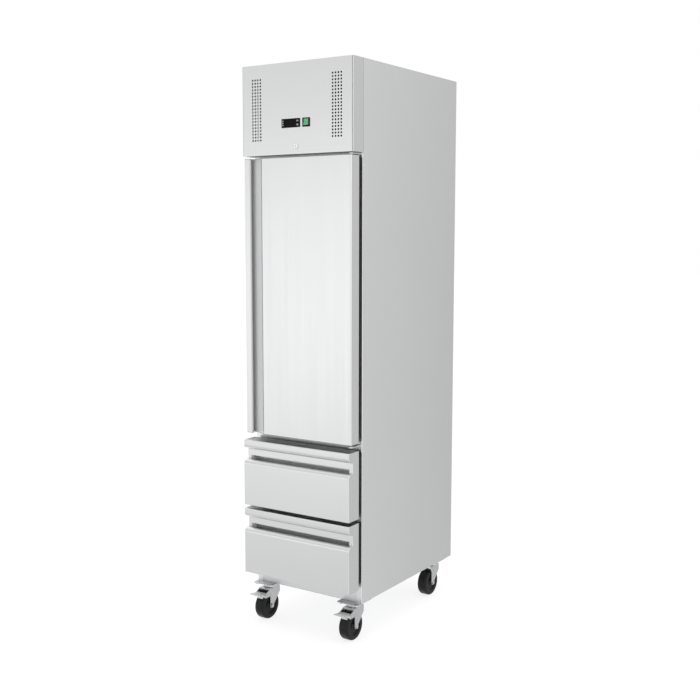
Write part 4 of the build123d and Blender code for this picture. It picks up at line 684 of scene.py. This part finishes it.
def softened(node, width):
    """The node with its cut edges and folds rounded, as pressed sheet and mouldings have them."""
    mesh, work = joined_faces(node)
    work.to_mesh(mesh)
    work.free()
    piece = new_piece(node + "_softened", mesh, [material_of(node)])
    rounding = piece.modifiers.new("rounding", "BEVEL")
    rounding.width = width
    rounding.segments = 2
    rounding.limit_method = "ANGLE"
    rounding.angle_limit = FOLD_ANGLE
    placed(evened(baked(piece)), node, True)


def drawer_front(node):
    """Folded drawer front, with the edges of its two ends rounded over."""
    mesh, work = joined_faces(node)
    low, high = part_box(node)
    ends = []
    for edge in work.edges:
        gaps = [min(abs(vert.co.x - low[0]), abs(vert.co.x - high[0])) for vert in edge.verts]
        if max(gaps) < END_TOLERANCE and edge.calc_face_angle(0.0) > FOLD_ANGLE:
            ends.append(edge)
    rounded(work, ends, DRAWER_END_ROUNDING, 3)
    work.to_mesh(mesh)
    work.free()
    piece = new_piece(node + "_sheet", mesh, [material_of(node)])
    placed(evened(piece), node, True)


def rounded(work, edges, offset, segments):
    bmesh.ops.bevel(work, geom=edges, offset=offset, segments=segments, profile=0.5, affect="EDGES")


def skinned(work, rings):
    """Quads from each ring of vertices to the next and from the last to the first, in a row for each ring."""
    rows = []
    for ring, following in zip(rings, rings[1:] + rings[:1]):
        row = []
        for index in range(len(ring)):
            after = (index + 1) % len(ring)
            corners = (ring[index], ring[after], following[after], following[index])
            row.append(work.faces.new(corners))
        rows.append(row)
    bmesh.ops.recalc_face_normals(work, faces=work.faces)
    return rows


def turned(work, profile, centre):
    """Rings of vertices from a profile of radius and distance, turned about an X axis through the centre."""
    rings = []
    for step in range(WHEEL_STEPS):
        angle = 2 * math.pi * step / WHEEL_STEPS
        ring = []
        for radius, x in profile:
            offset = Vector((x, radius * math.cos(angle), radius * math.sin(angle)))
            ring.append(work.verts.new(centre + offset))
        rings.append(ring)
    return rings


def wheel(node):
    """Moulded wheel: crowned tread, shoulder groove, dished side and hub."""
    low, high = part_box(node)
    centre = (Vector(low) + Vector(high)) / 2
    half = [(radius * MM, x * MM) for radius, x in TYRE]
    profile = half + [(radius, -x) for radius, x in reversed(half[1:-1])]
    work = bmesh.new()
    for row in skinned(work, turned(work, profile, centre)):
        for face in row[:TREAD_POINTS] + row[-TREAD_POINTS:]:
            face.material_index = 1
    materials = [MATERIALS["wheel_rubber"], MATERIALS["tread_rubber"]]
    piece = new_piece(node + "_tyre", mesh_from(work, node + "_tyre"), materials)
    placed(smoothed(piece, WHEEL_SHARP_ANGLE), node, True)


def gasket(node):
    """Magnetic seal with its bellows, mitred at the corners."""
    low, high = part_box(node)
    work = bmesh.new()
    rings = []
    for inward, back in BELLOWS:
        inset = inward * MM
        y = low[1] + back * MM
        left, right = low[0] + inset, high[0] - inset
        bottom, top = low[2] + inset, high[2] - inset
        corners = [(left, y, bottom), (right, y, bottom), (right, y, top), (left, y, top)]
        rings.append([work.verts.new(corner) for corner in corners])
    skinned(work, rings)
    mesh = mesh_from(work, node + "_bellows")
    piece = new_piece(node + "_bellows", mesh, [MATERIALS["gasket_rubber"]])
    placed(evened(piece), node, True)


def pedal_ribs(node):
    """Ribs across the tread of a brake pedal, laid along its slope from the tip back."""
    low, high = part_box(node)
    slope = math.atan2(TREAD_RISE, TREAD_RUN)
    work = bmesh.new()
    for index in range(RIB_COUNT):
        run = RIB_START + index * RIB_PITCH
        y = low[1] + run * math.cos(slope)
        z = high[2] - run * math.sin(slope)
        made = bmesh.ops.create_cube(work, size=1.0)
        turn = Matrix.Translation(((low[0] + high[0]) / 2, y, z)) @ Matrix.Rotation(-slope, 4, "X")
        bmesh.ops.transform(work, verts=made["verts"], matrix=turn @ Matrix.Diagonal((*RIB_SIZE, 1.0)))
    rounded(work, list(work.edges), RIB_ROUNDING, 2)
    mesh = mesh_from(work, node + "_ribs")
    placed(evened(new_piece(node + "_ribs", mesh, [material_of(node)])), node, False)


def display_window():
    """Smoked window let into the controller's bezel, with rounded corners."""
    low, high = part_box("temperature_controller")
    half_w, half_h = [size / 2 - DISPLAY_MARGIN for size in DISPLAY_SIZE]
    face, back = [low[1] + depth for depth in DISPLAY_DEPTH]
    centre = ((low[0] + high[0]) / 2 - DISPLAY_OFF_MIDDLE, (face + back) / 2, (low[2] + high[2]) / 2)
    size = (2 * half_w, back - face, 2 * half_h, 1.0)
    work = bmesh.new()
    made = bmesh.ops.create_cube(work, size=1.0)
    matrix = Matrix.Translation(centre) @ Matrix.Diagonal(size)
    bmesh.ops.transform(work, verts=made["verts"], matrix=matrix)
    inward = [edge for edge in work.edges if abs(edge.verts[0].co.y - edge.verts[1].co.y) > MERGE_DISTANCE]
    rounded(work, inward, DISPLAY_CORNER_R, 4)
    mesh = mesh_from(work, "display_window")
    piece = evened(new_piece("display_window", mesh, [MATERIALS["display_glass"]]))
    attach(piece, "cabinet")


def indicator_lenses():
    """Three small domed lenses in a column at the left of the display."""
    low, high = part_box("temperature_controller")
    x = low[0] + INDICATOR_IN
    level = (low[2] + high[2]) / 2
    work = bmesh.new()
    for row in (-1, 0, 1):
        place = Matrix.Translation((x, low[1], level + row * INDICATOR_SPACING))
        made = bmesh.ops.create_uvsphere(work, u_segments=20, v_segments=12, radius=INDICATOR_R)
        bmesh.ops.scale(work, verts=made["verts"], vec=(1.0, INDICATOR_DOME, 1.0))
        bmesh.ops.transform(work, verts=made["verts"], matrix=place)
    piece = new_piece("indicator_lenses", mesh_from(work, "indicator_lenses"), [MATERIALS["pale_lens"]])
    for polygon in piece.data.polygons:
        polygon.use_smooth = True
    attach(piece, "cabinet")


CASTERS = ("front_left", "front_right", "back_left", "back_right")
PEDALS = ("pedal_front_left", "pedal_front_right")
SOFTENED = [
    (FORK_ROUNDING, ["fork_" + caster for caster in CASTERS]),
    (PLATE_ROUNDING, [*PEDALS, "hinge_bracket_upper", "hinge_bracket_lower"]),
    (MOULDING_ROUNDING, ["temperature_controller", "switch_housing"]),
    (BOX_ROUNDING, ["junction_box"]),
]


def dressed_pieces():
    for width, nodes in SOFTENED:
        for node in nodes:
            softened(node, width)
    for node in ("drawer_1_front", "drawer_2_front"):
        drawer_front(node)
    for caster in CASTERS:
        wheel("wheel_" + caster)
    for node in PEDALS:
        pedal_ribs(node)
    for node in ("door_gasket", "drawer_1_gasket", "drawer_2_gasket"):
        gasket(node)
    display_window()
    indicator_lenses()


def camera():
    data = bpy.data.cameras.new("photo_camera")
    data.lens = CAMERA_LENS
    data.clip_end = CAMERA_REACH
    made = linked("photo_camera", data)
    made.location = CAMERA_PLACE
    turn = Matrix.Rotation(math.radians(CAMERA_YAW), 4, "Z")
    turn @= Matrix.Rotation(math.radians(90 + CAMERA_PITCH), 4, "X")
    turn @= Matrix.Rotation(math.radians(CAMERA_ROLL), 4, "Z")
    made.rotation_euler = turn.to_euler()
    bpy.context.scene.camera = made


def softbox(name, place, aim, size, power):
    """A rectangular studio lamp at a place, turned towards a point."""
    data = bpy.data.lights.new(name, "AREA")
    data.shape = "RECTANGLE"
    data.size, data.size_y = size
    data.energy = power
    lamp = linked(name, data)
    lamp.location = place
    lamp.rotation_euler = (Vector(aim) - Vector(place)).to_track_quat("-Z", "Y").to_euler()


def background(graph, strength):
    made = graph.node("ShaderNodeBackground")
    made.inputs["Color"].default_value = (1, 1, 1, 1)
    graph.feed(made.inputs["Strength"], strength)
    return made.outputs[0]


def walls(graph, split):
    """How bright the studio's walls are around the object, from the named azimuths."""
    toward = graph.product(split.outputs["Y"], -1.0)
    azimuth = graph.math("ARCTAN2", split.outputs["X"], toward)
    ramp = graph.node("ShaderNodeValToRGB")
    graph.link(graph.spread(azimuth, 0.0, 1.0, (-math.pi, math.pi)), ramp.inputs["Fac"])
    stops = ramp.color_ramp.elements
    while len(stops) < len(WALLS):
        stops.new(0.5)
    for stop, (degrees, level) in zip(stops, WALLS):
        stop.position = degrees / 360 + 0.5
        part = level / WALLS_TOP
        stop.color = (part, part, part, 1)
    ramp.color_ramp.interpolation = "EASE"
    return graph.product(ramp.outputs["Color"], WALLS_TOP)


def glow(graph, direction):
    """A wide soft panel at the front left, where the flat front mirrors it."""
    facing = graph.node("ShaderNodeVectorMath", operation="DOT_PRODUCT")
    facing.inputs[1].default_value = FRONT_GLOW_AIM
    graph.link(direction, facing.inputs[0])
    span = (FRONT_GLOW_EDGE, 1.0)
    return graph.spread(facing.outputs["Value"], 0.0, FRONT_GLOW, span, interpolation_type="SMOOTHSTEP")


def backdrop():
    """White to the eye; metal sees walls that differ around the object, and a brighter sky."""
    world = bpy.data.worlds.new("studio")
    bpy.context.scene.world = world
    world.use_nodes = True
    world.node_tree.nodes.clear()
    graph = Nodes(world.node_tree)
    direction = graph.node("ShaderNodeTexCoord").outputs["Generated"]
    split = graph.node("ShaderNodeSeparateXYZ")
    graph.link(direction, split.inputs["Vector"])
    sky = graph.product(graph.math("MAXIMUM", split.outputs["Z"], 0.0), SKY_GLOW)
    level = graph.math("ADD", walls(graph, split), glow(graph, direction))
    level = graph.math("ADD", level, sky)
    rays = graph.node("ShaderNodeLightPath")
    lit = graph.mix(rays.outputs["Is Glossy Ray"], background(graph, WORLD_DIFFUSE), background(graph, level))
    seen = graph.math("MAXIMUM", rays.outputs["Is Camera Ray"], rays.outputs["Is Transmission Ray"])
    output = graph.node("ShaderNodeOutputWorld")
    graph.link(graph.mix(seen, lit, background(graph, 1.0)), output.inputs["Surface"])


def diffuse(graph, color):
    made = graph.node("ShaderNodeBsdfDiffuse")
    made.inputs["Color"].default_value = (*color, 1)
    return made.outputs[0]


def floor_paint():
    """Pale paint, lifted to white for the eye, that keeps a soft shadow."""
    material = bpy.data.materials.new("floor_paint")
    material.use_nodes = True
    material.node_tree.nodes.clear()
    graph = Nodes(material.node_tree)
    light = graph.node("ShaderNodeEmission")
    light.inputs["Strength"].default_value = FLOOR_GLOW
    lifted = graph.node("ShaderNodeAddShader")
    graph.link(diffuse(graph, FLOOR_SEEN_COLOR), lifted.inputs[0])
    graph.link(light.outputs[0], lifted.inputs[1])
    rays = graph.node("ShaderNodeLightPath")
    seen = graph.mix(rays.outputs["Is Camera Ray"], diffuse(graph, FLOOR_COLOR), lifted.outputs[0])
    output = graph.node("ShaderNodeOutputMaterial")
    graph.link(seen, output.inputs["Surface"])
    return material


def studio_floor():
    mesh = bpy.data.meshes.new("studio_floor")
    half = FLOOR_SIZE / 2
    corners = [(-half, -half, 0), (half, -half, 0), (half, half, 0), (-half, half, 0)]
    mesh.from_pydata(corners, [], [(0, 1, 2, 3)])
    floor = new_piece("studio_floor", mesh, [floor_paint()])
    floor.visible_glossy = False


camera()
backdrop()
studio_floor()
for lamp_settings in LAMPS:
    softbox(*lamp_settings)
carried_over_finishes()
dressed_pieces()
bpy.context.scene.view_settings.view_transform = "Standard"
